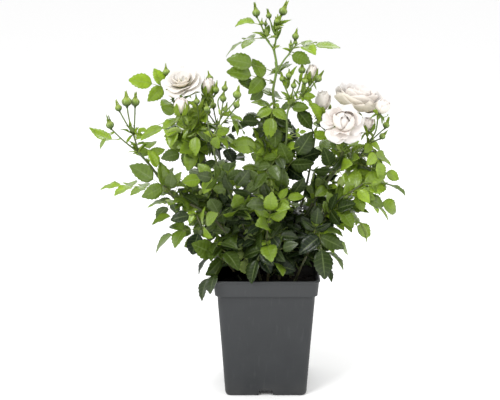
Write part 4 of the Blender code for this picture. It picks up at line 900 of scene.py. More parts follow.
def lay_blade(bundle, place, length, tone, chance, width=1.0, droop=0.06):
    """Lays one leaflet: place gives the point, the way across and the upper side at a share of its length."""
    fold = chance.uniform(0.08, 0.46)
    wave = chance.uniform(0.006, 0.034) * length
    turn = chance.uniform(0, math.tau)
    curl = chance.uniform(-0.6, 2.0) * droop * length
    points = []
    for corner in blade_points:
        point, across, over = place(min(corner.y, 1.0))
        edge = abs(corner.x) / 0.33
        lift = abs(corner.x) * length * fold - curl * corner.y ** 2.5
        lift += wave * edge ** 1.6 * math.sin(turn + corner.y * 13 + (2.1 if corner.x > 0 else 0.0))
        points.append(point + across * (corner.x * length * width) + over * lift)
    bundle.add(points, blade_faces, tone, blade_uv)


def leaf_line(root, tip, facing, arch):
    """The arched line of a leaf from root to tip, as a function of the share of the way."""
    chord = tip - root
    span = chord.length
    ahead = chord / span
    over = (facing - ahead * facing.dot(ahead)).normalized()

    def at(share):
        point = root + chord * share + over * (4.0 * arch * span * share * (1.0 - share))
        tangent = (ahead + over * (4.0 * arch * (1.0 - 2.0 * share))).normalized()
        normal = (over - tangent * over.dot(tangent)).normalized()
        return point, tangent, tangent.cross(normal), normal

    return at, span


def side_places(span, blade, pairs):
    return [span - blade * (1.0 + TIP_SPACING + PAIR_SPACING * index) for index in range(pairs)][::-1]


def side_blade(at, span, blade, pairs, index, along_stalk, sign):
    """The foot, direction, way across, upper side and length of one side leaflet."""
    size = blade * SIDE_LEAFLET_SIZE[min(pairs - 1 - index, 1)]
    point, tangent, side, normal = at(along_stalk / span)
    direction = tangent * math.cos(SIDE_LEAFLET_ANGLE) + side * (sign * math.sin(SIDE_LEAFLET_ANGLE))
    return point + side * (sign * 0.0008), direction, direction.cross(normal), normal, size


def blade_tips(root, tip, facing, blade, pairs, arch):
    at, span = leaf_line(root, tip, facing, arch)
    tips = [tip]
    for index, place in enumerate(side_places(span, blade, pairs)):
        for sign in (-1, 1):
            foot, direction, _across, over, size = side_blade(at, span, blade, pairs, index, place, sign)
            tips.append(foot + direction * size - over * (size * SIDE_LEAFLET_DROOP))
    return tips


def draw_stalk(bundle, line, radii, tone, sides=5):
    """A thin tapered tube along the points."""
    points = []
    faces = []
    frame = turned_frame(line[1] - line[0])
    for step, point in enumerate(line):
        tangent = (line[min(step + 1, len(line) - 1)] - line[max(step - 1, 0)]).normalized()
        frame = (frame.col[2].rotation_difference(tangent).to_matrix() @ frame)
        radius = radii[0] + (radii[1] - radii[0]) * step / (len(line) - 1)
        for side in range(sides):
            angle = math.tau * side / sides
            points.append(point + frame @ Vector((math.cos(angle) * radius, math.sin(angle) * radius, 0)))
        if step:
            low, high = (step - 1) * sides, step * sides
            faces += [(low + side, low + (side + 1) % sides, high + (side + 1) % sides, high + side)
                      for side in range(sides)]
    faces += [tuple(range(sides))[::-1], tuple(range(len(points) - sides, len(points)))]
    bundle.add(points, faces, tone, None, 1)


def lay_leaf(blades, stalks, start, root, tip, facing, blade, pairs, arch, tone, chance):
    """Lays one leaf: its stalk from the cane to the end leaflet, its stipules and its leaflets."""
    at, span = leaf_line(root, tip, facing, arch)
    places = side_places(span, blade, pairs)
    bare = 1.0 - blade / span
    count = max(int(bare * span / 0.006), 3)
    line = [start] + [at(bare * step / count)[0] for step in range(1, count + 1)]
    draw_stalk(stalks, line, STALK_RADIUS, tone)
    end_turn = math.radians(chance.uniform(-14, 14))

    def end_place(share):
        point, tangent, side, normal = at(bare + (1 - bare) * share)
        turn = Matrix.Rotation(end_turn * (1 - share * 0.5), 3, tangent)
        return point, turn @ side, turn @ normal

    lay_blade(blades, end_place, blade, tone, chance)
    for index, place in enumerate(places):
        for sign in (-1, 1):
            foot, direction, across, over, size = side_blade(at, span, blade, pairs, index, place, sign)
            across = across * 1.0

            def side_place(share):
                return foot + direction * (size * share) - over * (size * SIDE_LEAFLET_DROOP * share ** 2), across, over

            lay_blade(blades, side_place, size, min(max(tone + chance.uniform(-0.14, 0.14), 0), 1), chance)
    reach = min(0.011, span * bare * 0.5)
    for sign in (-1, 1):
        point, tangent, side, normal = at(0.0)

        def stipule_place(share):
            spread = side * sign * (0.0008 + 0.0030 * share ** 1.8)
            return start + tangent * (reach * share) + spread, (side + normal * 0.4).normalized(), normal

        lay_blade(blades, stipule_place, reach, min(tone + 0.15, 1), chance, 0.42, 0.0)


def stem_samples(data):
    """Points every few millimetres along a cane and its shoots, above the peat."""
    samples = []
    for points, _first, _last in stretches_of(data):
        for start, end in zip(points, points[1:]):
            steps = max(int((end - start).length / 0.004), 1)
            samples += [start.lerp(end, index / steps) for index in range(steps)]
        samples.append(points[-1])
    return [sample for sample in samples if sample.z > SOIL_LEVEL + 0.012]


def leaf_length(blade, pairs):
    if pairs == 0:
        return blade * 1.30
    return blade * (1.42 + TIP_SPACING + (pairs - 1) * PAIR_SPACING)


def leaf_root(samples, tip, length, hanging):
    """Where a leaf leaves its stem: the place whose distance to the tip is nearest the leaf's length."""
    def misfit(sample):
        height = (sample.z - tip.z) if hanging else (tip.z - sample.z)
        return abs((tip - sample).length - length) - 0.12 * height
    return min(samples, key=misfit)


def turned_tip(root, tip, yaw, pitch):
    """The tip swung about the root by a yaw round the vertical and a pitch up or down."""
    chord = tip - root
    side = Vector((-chord.y, chord.x, 0.0))
    if side.length < 0.001:
        side = Vector((1.0, 0.0, 0.0))
    lifted = Matrix.Rotation(math.radians(-pitch), 3, side.normalized()) @ chord
    return root + Matrix.Rotation(math.radians(yaw), 3, "Z") @ lifted


def tree_of(points):
    tree = kdtree.KDTree(len(points))
    for index, point in enumerate(points):
        tree.insert(point, index)
    tree.balance()
    return tree


def placed_leaf(solid, root, tip, facing, blade, pairs, arch):
    """The try whose leaflet tips lie on the solid's corners, as (distance, tip, facing, blade)."""
    best = (1.0, tip, facing, blade)
    for yaw, pitch, roll, scale in PLACED_TRIES:
        aim = turned_tip(root, tip, yaw, pitch)
        chord = (aim - root).normalized()
        face = Matrix.Rotation(math.radians(roll), 3, chord) @ facing
        size = blade * scale * min(1.0, (aim - root).length / (leaf_length(blade * scale, pairs) * 0.86))
        tips = blade_tips(root, aim, face, size, pairs, arch)
        distance = sum(min(solid.find(point)[2], 0.02) for point in tips) / len(tips)
        if distance < best[0]:
            best = (distance, aim, face, size)
    return best


veins = bpy.data.node_groups.new("leaf_veins", "ShaderNodeTree")
for socket in ("Vein", "Pucker"):
    veins.interface.new_socket(socket, in_out="OUTPUT", socket_type="NodeSocketFloat")
split = wire(veins, "ShaderNodeSeparateXYZ", {0: wire(veins, "ShaderNodeUVMap", uv_map="UVMap").outputs[0]})
aside = maths(veins, "ABSOLUTE", maths(veins, "SUBTRACT", split.outputs["X"], 0.5))
phase = maths(veins, "MULTIPLY_ADD", aside, -1.5, maths(veins, "MULTIPLY", split.outputs["Y"], 7.0))
comb = maths(veins, "ABSOLUTE", maths(veins, "SUBTRACT", maths(veins, "FRACT", phase), 0.5))
side_vein = in_range(veins, comb, 0.40, 0.49)
midrib = in_range(veins, aside, 0.055, 0.015)
put = veins.nodes.new("NodeGroupOutput")
veins.links.new(maths(veins, "MAXIMUM", maths(veins, "MULTIPLY", side_vein, 0.55), midrib), put.inputs["Vein"])
veins.links.new(maths(veins, "SUBTRACT", in_range(veins, comb, 0.5, 0.1), midrib), put.inputs["Pucker"])


def leaf_finish(name, deep, middle, young, vein_colour, vein_share, roughness, polish_share, through):
    """A green by the tone, which holds the leaf's age and its painted light and shade, with its veins, which lets some
    light through.
    """
    material, tree, shader = new_finish(name, roughness, 0.15)
    shader.inputs["Coat Roughness"].default_value = roughness
    tone = wire(tree, "ShaderNodeAttribute", attribute_name="tone").outputs["Fac"]
    ramp = wire(tree, "ShaderNodeValToRGB", {0: tone})
    for place, shade in ((0.0, deep), (1.0, young)):
        ramp.color_ramp.elements[int(place)].color = shade
    for place, start, end, share in ((0.22, deep, middle, 0.22), (0.5, middle, young, 0.0), (0.8, middle, young, 0.45)):
        added = ramp.color_ramp.elements.new(place)
        added.color = [a + (b - a) * share for a, b in zip(start, end)]
    green, blotch = uneven(tree, ramp.outputs["Color"], mixed(tree, 0.5, ramp.outputs["Color"], deep), 90.0, 0.55)
    group = wire(tree, "ShaderNodeGroup", node_tree=veins)
    vein = maths(tree, "MULTIPLY", group.outputs["Vein"], vein_share)
    green = mixed(tree, vein, green, vein_colour)
    tree.links.new(green, shader.inputs["Base Color"])
    bumped(tree, shader, group.outputs["Pucker"], 0.0008, 0.6)
    polish = wire(tree, "ShaderNodeTexNoise", {"Vector": wire(tree, "ShaderNodeTexCoord").outputs["Object"],
                                               "Scale": 17.0, "Detail": 1.0}).outputs["Fac"]
    polish = maths(tree, "MULTIPLY", in_range(tree, polish, 0.40, 0.62), polish_share)
    polish = maths(tree, "MULTIPLY", polish, maths(tree, "MULTIPLY_ADD", in_range(tree, tone, 0.0, 0.35), 0.7, 0.3))
    tree.links.new(maths(tree, "MINIMUM", polish, 1.0), shader.inputs["Coat Weight"])
    glow = wire(tree, "ShaderNodeBsdfTranslucent", {
        "Color": mixed(tree, 0.6, green, mixed(tree, tone, colour(0.13, 0.30, 0.02), colour(0.55, 0.75, 0.08)))})
    blend = wire(tree, "ShaderNodeMixShader", {0: through, 1: shader.outputs[0], 2: glow.outputs[0]})
    tree.links.new(blend.outputs[0], tree.nodes["Material Output"].inputs["Surface"])
    return material


# The deep colours are painted shade for leaves low inside the bush; the light ones are young growth and painted light
# at its top and sides.
upper_finish = leaf_finish("leaf_upper_side", colour(0.008, 0.018, 0.005), colour(0.145, 0.225, 0.020),
                           colour(0.360, 0.530, 0.034), colour(0.30, 0.40, 0.13), 0.30, 0.28, 1.8, 0.30)
lower_finish = leaf_finish("leaf_underside", colour(0.045, 0.072, 0.026), colour(0.220, 0.305, 0.085),
                           colour(0.460, 0.570, 0.150), colour(0.36, 0.46, 0.22), 0.45, 0.60, 0.5, 0.22)
stalk_finish, tree, shader = new_finish("leaf_stalk", 0.5, 0.4)
# The stalk's green follows its leaf's tone, so it carries the same painted light and shade.
tone = wire(tree, "ShaderNodeAttribute", attribute_name="tone").outputs["Fac"]
green = mixed(tree, tone, colour(0.075, 0.120, 0.028), colour(0.240, 0.330, 0.055))
green, blotch = uneven(tree, green, colour(0.16, 0.075, 0.035), 70.0, 0.35)
tree.links.new(green, shader.inputs["Base Color"])


def thicken(piece, thickness, offset, rim, slots=1):
    """Gives a sheet its thickness, with its second finish below."""
    apply_modifier(piece, "SOLIDIFY", thickness=thickness, offset=offset, material_offset=slots,
                   material_offset_rim=rim)


def nearest(points, place):
    return min(points, key=lambda point: (point - place).length)


def leaf_age_and_painted_light(place, chance):
    """How young a leaf is, with painted light and shade: painted darker low in the bush and inside it, where shade
    falls, and lighter to its top and its sides, where light falls.
    """
    height = min(max((place.z - 0.23) / 0.40, 0.0), 1.0)
    aside = min(max(abs(place.x + 0.015) - 0.10, 0.0) / 0.09, 1.0)
    shaded = max(1 - height / 0.4, 0.0) * (1 - aside)
    if chance.random() < YOUNG_SHARE + 0.14 * height - 0.07 * shaded:
        return chance.uniform(0.62, 0.78) + 0.22 * max(height, aside)
    inside = 1 - min(math.hypot(place.x / 0.17, place.y / 0.08), 1.0)
    spread = chance.gauss(0.0, 0.25 + 0.05 * aside - 0.17 * shaded)
    # Painted light and shade: higher and outer leaves are lighter, low and inner ones darker.
    tone = 0.09 + 0.70 * height + 0.16 * height ** 3 + 0.62 * aside * (0.8 + 0.2 * height) + spread
    tone -= 0.30 * inside * (1 - height)
    return min(max(tone, 0.0), 0.95)


YOUNG_SHARE = 0.20
leaf_centres = []
ready_leaves = {}
for name, data in CANES.items():
    chance = random.Random(name + " leaves")
    solid = tree_of([vertex.co for vertex in frame["nodes"]["leafy_stem_" + name].data.vertices])
    samples = stem_samples(data)
    ready_leaves[name] = []
    for tip, blade, pairs, facing, arch in data["leaves"]:
        tip = millimetres(tip)
        root = leaf_root(samples, tip, leaf_length(blade * 0.001, pairs), tip.z < POT_HEIGHT + 0.05)
        distance, aim, face, size = placed_leaf(solid, root, tip, Vector(FACES[facing]), blade * 0.001, pairs, arch)
        tone = leaf_age_and_painted_light(root.lerp(aim, 0.6), chance)
        ready_leaves[name].append((root, aim, face, size, pairs, arch, tone))
        leaf_centres.append(root.lerp(aim, 0.6))

# More leaves fill the heart of the bush, in clumps, each from the stretch of stem that its length can reach. A clump
# is its middle and half size in metres, and how many leaves it holds at most.
CLUMPS = [
    ((0.004, 0.000, 0.262), (0.118, 0.080, 0.052), 62),
    ((0.004, 0.000, 0.345), (0.145, 0.095, 0.060), 66),
    ((0.015, 0.020, 0.430), (0.115, 0.070, 0.045), 26),
    ((-0.108, 0.000, 0.430), (0.070, 0.060, 0.045), 20),
    ((0.148, 0.000, 0.385), (0.065, 0.065, 0.055), 11),
    ((0.190, 0.000, 0.345), (0.042, 0.050, 0.050), 9),
    ((-0.150, 0.000, 0.360), (0.060, 0.055, 0.055), 12),
    ((0.150, 0.010, 0.330), (0.050, 0.060, 0.040), 8),
    ((0.004, -0.052, 0.252), (0.096, 0.046, 0.022), 26),
    ((-0.010, 0.090, 0.330), (0.140, 0.050, 0.090), 46),
]
GOLDEN_TURN = math.radians(137.508)
FILLER_SPACING = 0.0130
TURNED_SHARE = 0.16
CLEAR_OF_BLOOM = 0.045
# Open gaps between the stems, where the light comes through: (place across, height, half width) in metres.
OPEN_GAPS = [(-0.036, 0.430, 0.017), (0.083, 0.461, 0.018), (0.053, 0.391, 0.021), (0.065, 0.334, 0.014),
             (0.012, 0.399, 0.009), (-0.105, 0.412, 0.014), (-0.050, 0.377, 0.008), (0.141, 0.391, 0.014)]

chance = random.Random("filling leaves")
stem_spots = [(name, sample) for name, data in CANES.items() for sample in stem_samples(data)]
blooms = [millimetres(shoot[0][-1]) + millimetres(shoot[3][-1]) * 0.7
          for data in CANES.values() for shoot in data["shoots"] if shoot[3][0] != "bud"]


def hides_bloom(point):
    """Whether the point is near a bloom or stands before it, seen from the front."""
    for bloom in blooms:
        away = point - bloom
        ahead = away.dot(camera_side)
        if away.length < CLEAR_OF_BLOOM or (ahead > 0 and (away - camera_side * ahead).length < CLEAR_OF_BLOOM * 0.8):
            return True
    return False


def fills_gap(point):
    """Whether the point stands in one of the open gaps, seen from the front."""
    for across, height, half_width in OPEN_GAPS:
        away = point - Vector((across, 0, height))
        if (away - camera_side * away.dot(camera_side)).length < half_width:
            return True
    return False


for middle, half_size, most in CLUMPS:
    grown = 0
    for attempt in range(most * 40):
        swing = attempt * GOLDEN_TURN
        outward = Vector((math.cos(swing), math.sin(swing), 0))
        reach = math.sqrt(chance.uniform(0.06, 1.0))
        tip = Vector(middle) + Vector((outward.x * reach * half_size[0], outward.y * reach * half_size[1],
                                       chance.uniform(-1, 1) * half_size[2]))
        pairs = chance.choice((1, 1, 2))
        blade = chance.uniform(0.026, 0.040)
        length = leaf_length(blade, pairs)
        near = [(name, spot) for name, spot in stem_spots if abs((tip - spot).length - length) < 0.1 * length
                and (tip - spot).dot(outward) > 0.25 * length]
        if not near:
            continue
        name, root = chance.choice(near)
        centre = root.lerp(tip, 0.6)
        face = Vector((0, -0.25, 1.0)) if chance.random() > TURNED_SHARE else Vector((0, 1.0, 0.35))
        face = (face + outward * chance.uniform(0.0, 1.0) * face.z).normalized()
        tips = blade_tips(root, tip, face, blade, pairs, 0.1)
        if any(point.z < POT_HEIGHT + 0.006 and max(abs(point.x), abs(point.y)) < RIM_WIDTH / 2 + 0.004
               for point in tips) or any(hides_bloom(point) or fills_gap(point) for point in tips + [centre]):
            continue
        if any((centre - other).length < FILLER_SPACING for other in leaf_centres):
            continue
        tone = leaf_age_and_painted_light(centre, chance)
        ready_leaves[name].append((root, tip, face, blade, pairs, chance.uniform(0.05, 0.16), tone))
        leaf_centres.append(centre)
        grown += 1
        if grown == most:
            break

# Where a leaf joins its stem, some buds are just breaking into tiny bright leaves.
BREAKING_SHARE = 0.22
for name in CANES:
    for root, aim, face, size, pairs, arch, tone in list(ready_leaves[name]):
        if chance.random() < BREAKING_SHARE:
            turn = Matrix.Rotation(chance.uniform(-1.2, 1.2), 3, "Z")
            young_tip = root + (turn @ (aim - root)).normalized() * chance.uniform(0.022, 0.036) + Vector((0, 0, 0.012))
            ready_leaves[name].append((root, young_tip, face, chance.uniform(0.010, 0.015), 1,
                                       0.12, chance.uniform(0.78, 1.0)))


# Single leaves that stand clear of the bush: (place on the stem, tip, blade length, pairs, way it faces, tone), in
# millimetres. Each starts from the nearest point of a stem.
LONE_LEAVES = [
    ((38, 0, 610), (77, -10, 596), 36, 0, "front", 0.55), ((-6, 0, 579), (-70, -10, 603), 46, 0, "front", 0.55),
    ((38, -20, 526), (80, -30, 483), 40, 0, "front", 0.25), ((38, -20, 519), (74, -30, 521), 30, 0, "front", 0.50),
    ((-142, -20, 429), (-185, -30, 431), 36, 0, "front", 0.35), ((144, 0, 321), (189, -10, 283), 38, 0, "front", 0.85),
    ((183, 0, 362), (233, -10, 327), 42, 0, "front", 0.85), ((193, 0, 380), (240, -10, 388), 30, 0, "front", 0.95),
    ((-148, -10, 510), (-185, -10, 520), 26, 0, "front", 0.55), ((-60, -10, 474), (-13, -20, 494), 36, 0, "front", 0.15),
]
for place, tip, blade, pairs, facing, tone in LONE_LEAVES:
    name, root = min(stem_spots, key=lambda spot: (spot[1] - millimetres(place)).length)
    ready_leaves[name].append((root, millimetres(tip), Vector(FACES[facing]), blade * 0.001, pairs, 0.08, tone))


def hold_in(piece):
    """Draws the outermost leaf tips in a little, so that none stands out beyond the plant's measured size."""
    for vertex in piece.data.vertices:
        for axis in (0, 1):
            for limit, way in ((cad_box[0][axis], 1), (cad_box[1][axis], -1)):
                over = EDGE_BAND - (vertex.co[axis] - limit) * way
                vertex.co[axis] += way * max(over, 0.0) * EDGE_PULL


EDGE_BAND = 0.028
EDGE_PULL = 0.11
for name, leaves in ready_leaves.items():
    chance = random.Random(name + " blades")
    blades, stalks = Bundle(), Bundle()
    for root, aim, face, size, pairs, arch, tone in leaves:
        lay_leaf(blades, stalks, nearest(smooth_points[name], root), root, aim, face, size, pairs, arch, tone, chance)
    sheet = blades.piece("leaves_" + name, [upper_finish, lower_finish], "leaves")
    hold_in(sheet)
    thicken(sheet, BLADE_THICKNESS, -1.0, 0)
    hold_in(stalks.piece("leaf_stalks_" + name, [upper_finish, stalk_finish], "leaves"))

# The buds. Each is a round green hip and bud wrapped in five sepals, whose long leafy tips stand above it in a loose
# spire. Under the open roses the same sepals are turned back. Pale young bracts sit where the shoots fork.
BUD_SIDES = 10
BUD_RINGS = [(0.27, -0.30), (0.34, 0.0), (0.52, 0.16), (0.90, 0.40), (1.18, 0.78), (1.30, 1.20), (1.20, 1.62),
             (0.86, 1.98), (0.44, 2.28), (0.22, 2.62), (0.09, 2.95)]
SPIRE_FOOT = 2.05

bpy.ops.object.select_all(action="DESELECT")
bpy.ops.mesh.primitive_circle_add(vertices=BUD_SIDES, radius=BUD_RINGS[0][0], fill_type="NGON",
                                  location=(0, 0, BUD_RINGS[0][1]))
bpy.ops.object.mode_set(mode="EDIT")
for (near, low), (far, high) in zip(BUD_RINGS, BUD_RINGS[1:]):
    bpy.ops.mesh.extrude_region_move(TRANSFORM_OT_translate={"value": (0, 0, high - low)})
    bpy.ops.transform.resize(value=(far / near, far / near, 1), center_override=(0, 0, high))
bpy.ops.mesh.select_all(action="SELECT")
bpy.ops.mesh.normals_make_consistent(inside=False)
bpy.ops.object.mode_set(mode="OBJECT")
bpy.ops.object.transform_apply(location=True, rotation=True, scale=True)
for vertex in bpy.context.object.data.vertices:
    seam = 0.5 + 0.5 * math.cos(5 * math.atan2(vertex.co.y, vertex.co.x))
    groove = 1 - 0.14 * seam if vertex.co.z > 0.7 else 1.0
    vertex.co = (vertex.co.x * groove, vertex.co.y * groove, vertex.co.z)
bud_points, bud_faces, _uv = shape_of(bpy.context.object)
bud_uv = []
for face in bud_faces:
    angles = [math.atan2(bud_points[corner].y, bud_points[corner].x) % math.tau for corner in face]
    if max(angles) - min(angles) > math.pi:
        angles = [angle + math.tau if angle < math.pi else angle for angle in angles]
    bud_uv += [(angle * 5 / math.tau, bud_points[corner].z / 3) for angle, corner in zip(angles, face)]


def lay_bud(bundle, tips, seat, aim, radius, tone, chance):
    """One bud on its stalk: the body, and the five sepal tips drawn up into the spire."""
    top = max(aim.length + radius * 1.2, radius * 3.4)
    turning = turned_frame(aim, chance.uniform(0, math.tau))

    def placed(x, y, z):
        rise = -0.002 if z < -0.25 else z * radius
        return seat + turning @ Vector((x * radius, y * radius, rise))

    bundle.add([placed(*point) for point in bud_points], bud_faces, tone, bud_uv)
    for sepal in range(5):
        angle = (sepal + 0.5) * math.tau / 5
        lean = chance.uniform(-0.1, 0.35)
        twist = chance.uniform(-0.9, 0.9)
        long = top - SPIRE_FOOT * radius
        long *= chance.uniform(0.72, 1.0)

        def tip_place(share):
            swing = angle + twist * share
            reach = 0.66 * (1 - share) ** 3.4 + lean * share ** 1.8 + 0.06
            point = seat + turning @ Vector((math.cos(swing) * reach * radius, math.sin(swing) * reach * radius,
                                             SPIRE_FOOT * radius + long * share))
            across = turning @ Vector((-math.sin(swing), math.cos(swing), 0))
            over = turning @ Vector((math.cos(swing), math.sin(swing), 0.2))
            return point, across, over

        lay_blade(tips, tip_place, long, min(tone + 0.15, 1.0), chance, 0.17 * radius / 0.006, 0.0)


CUP_HEIGHT = 0.008
CUP_RINGS = [(0.30, -0.003), (0.50, -0.0012), (0.86, 0.0016), (0.98, 0.0038), (0.86, 0.0058), (0.92, CUP_HEIGHT)]
CUP_WIDTH = {"bloom": 0.0046, "opening": 0.0042}
SEPALS = {"bloom": 5, "opening": 4}
CLASPED = 11.5

bpy.ops.object.select_all(action="DESELECT")
bpy.ops.mesh.primitive_circle_add(vertices=12, radius=CUP_RINGS[0][0], fill_type="NGON",
                                  location=(0, 0, CUP_RINGS[0][1]))
bpy.ops.object.mode_set(mode="EDIT")
for (near, low), (far, high) in zip(CUP_RINGS, CUP_RINGS[1:]):
    bpy.ops.mesh.extrude_region_move(TRANSFORM_OT_translate={"value": (0, 0, high - low)})
    bpy.ops.transform.resize(value=(far / near, far / near, 1), center_override=(0, 0, high))
bpy.ops.mesh.select_all(action="SELECT")
bpy.ops.mesh.normals_make_consistent(inside=False)
bpy.ops.object.mode_set(mode="OBJECT")
bpy.ops.object.transform_apply(location=True, rotation=True, scale=True)
cup_points, cup_faces, _uv = shape_of(bpy.context.object)


def lay_cup(bundle, tips, seat, aim, kind, clasp, petal_reach, tone, chance):
    """The hip under a rose with its sepals turned back, and others that clasp the petals."""
    width = CUP_WIDTH[kind]
    frame_here = turned_frame(aim)
    up = aim.normalized()
    bundle.add([seat + frame_here @ Vector((point.x * width, point.y * width, point.z)) for point in cup_points],
               cup_faces, tone)
    for index in range(SEPALS[kind]):
        angle = (index + 0.5) * math.tau / SEPALS[kind]
        out = frame_here @ Vector((math.cos(angle), math.sin(angle), 0))
        side = frame_here @ Vector((-math.sin(angle), math.cos(angle), 0))
        reach = width * 0.6 + 0.013

        def sepal_place(share):
            point = seat + up * (0.0062 - 0.012 * share ** 1.5) + out * (width * 0.4 + reach * share)
            return point, side, (up + out * 0.6).normalized()

        lay_blade(tips, sepal_place, reach, tone, chance, 0.5, 0.0)
    for index in range(clasp):
        angle = index * math.tau / clasp + 0.3
        long = aim.length * (chance.uniform(0.9, 1.25) if clasp == 5 else chance.uniform(0.5, 0.7))
        flare = chance.uniform(0.0, 0.28)

        def clasp_place(share):
            swing = angle + 0.2 * share
            out = frame_here @ Vector((math.cos(swing), math.sin(swing), 0))
            side = frame_here @ Vector((-math.sin(swing), math.cos(swing), 0))
            bulge = width * 0.6 + (petal_reach * 1.06 - width * 0.6) * math.sin(min(share * 2.4, 1.57))
            bulge += (flare * long) * max(share - 0.55, 0) ** 1.3
            return seat + up * (0.004 + long * share) + out * bulge, side, out

        lay_blade(tips, clasp_place, long, chance.uniform(0.55, 0.9), chance, 0.54 * petal_reach / (0.33 * long), 0.0)


def lay_bract(bundle, foot, direction, over, long, tone, chance, width=0.55):
    across = direction.cross(over).normalized()
    normal = across.cross(direction).normalized()
    bend = chance.uniform(0.0, 0.4) * long

    def bract_place(share):
        return foot + direction * (long * share) - normal * (bend * share ** 2), across, normal

    lay_blade(bundle, bract_place, long, tone, chance, width, 0.0)


bract_finish = leaf_finish("sepal_and_bract", colour(0.050, 0.100, 0.014), colour(0.190, 0.300, 0.026),
                           colour(0.420, 0.560, 0.055), colour(0.42, 0.50, 0.16), 0.20, 0.40, 0.35, 0.30)
bud_finish, tree, shader = new_finish("green_bud", 0.42, 0.45)
where = wire(tree, "ShaderNodeTexCoord").outputs["Object"]
place = wire(tree, "ShaderNodeSeparateXYZ", {0: wire(tree, "ShaderNodeUVMap", uv_map="UVMap").outputs[0]})
tone = wire(tree, "ShaderNodeAttribute", attribute_name="tone").outputs["Fac"]
green = mixed(tree, tone, colour(0.062, 0.138, 0.009), colour(0.185, 0.300, 0.020))
# The upper ball is painted lighter, a painted highlight, and the foot darker, painted shade.
green = mixed(tree, maths(tree, "MULTIPLY", in_range(tree, place.outputs["Y"], 0.42, 0.80), 0.6), green,
              colour(0.360, 0.440, 0.080))
green = mixed(tree, in_range(tree, place.outputs["Y"], 0.62, 0.12), green, colour(0.024, 0.058, 0.006))
seam = maths(tree, "ABSOLUTE", maths(tree, "SUBTRACT", maths(tree, "FRACT", place.outputs["X"]), 0.5))
seam = maths(tree, "MULTIPLY", in_range(tree, seam, 0.40, 0.5), in_range(tree, place.outputs["Y"], 0.25, 0.4))
green = mixed(tree, maths(tree, "MULTIPLY", seam, 0.7), green, colour(0.45, 0.55, 0.25))
green, blotch = uneven(tree, green, colour(0.20, 0.16, 0.06), 160.0, 0.22)
tree.links.new(green, shader.inputs["Base Color"])
bumped(tree, shader, maths(tree, "MULTIPLY_ADD", seam, -1.0, maths(tree, "MULTIPLY", blotch, 0.3)), 0.0004)

# Tufts of narrow young leaves and bracts: the cane, the middle in millimetres, half width, half height and number.
TUFTS = [
    ("bloom_left", (-150, 8, 500), 42, 38, 64), ("bloom_left", (-112, 4, 505), 24, 30, 36),
    ("left", (-229, -38, 462), 20, 24, 14), ("mid_left", (-78, 0, 505), 24, 22, 14),
    ("second", (44, -18, 545), 26, 26, 16), ("centre", (16, 4, 632), 24, 24, 18),
    ("bloom_right", (140, -10, 440), 34, 30, 22),
]

for name, data in CANES.items():
    if not data["shoots"]:
        continue
    chance = random.Random(name + " buds")
    buds, tips = Bundle(), Bundle()
    for middle, half_width, half_height, most in [tuft[1:] for tuft in TUFTS if tuft[0] == name]:
        spots = [spot for spot in smooth_points[name] if abs(spot.z - middle[2] * 0.001) < half_height * 0.001
                 and (spot.xy - millimetres(middle).xy).length < half_width * 0.001]
        for _leaf in range(most if spots else 0):
            foot = chance.choice(spots)
            direction = Vector((chance.gauss(0, 0.5), chance.gauss(0, 0.5), chance.uniform(0.5, 1.3))).normalized()
            lay_bract(tips, foot, direction, Vector((0, -0.4, 1)), chance.uniform(0.012, 0.030),
                      chance.uniform(0.50, 0.95), chance, chance.uniform(0.30, 0.62))
    for route, start, end, load in data["shoots"]:
        seat = millimetres(route[-1])
        aim = millimetres(load[-1])
        tone = chance.uniform(0.35, 1.0)
        if load[0] == "bud":
            lay_bud(buds, tips, seat, aim, load[1] * 0.001, tone, chance)
        else:
            opening = load[0] == "opening"
            clasp = 0 if not opening else 5 if load[2] < CLASPED else 3
            lay_cup(buds, tips, seat, aim, load[0], clasp, load[2] * 0.001 if opening else 0.0, tone * 0.9, chance)
        fork = millimetres(route[0])
        heading = (millimetres(route[1]) - fork).normalized()
        for _bract in range(chance.choice((1, 2, 3))):
            swing = Matrix.Rotation(chance.uniform(0, math.tau), 3, heading)
            lean = swing @ turned_frame(heading) @ Vector((1, 0, 0))
            direction = (heading * chance.uniform(0.6, 1.4) + lean).normalized()
            lay_bract(tips, nearest(smooth_points[name], fork), direction, heading, chance.uniform(0.008, 0.020),
                      chance.uniform(0.85, 1.15), chance)
    buds.piece("buds_" + name, [bud_finish], "leaves")
    tips.piece("sepals_and_bracts_" + name, [bract_finish, lower_finish], "leaves")
    thicken(bpy.data.objects["sepals_and_bracts_" + name], 0.0003, -1.0, 0)

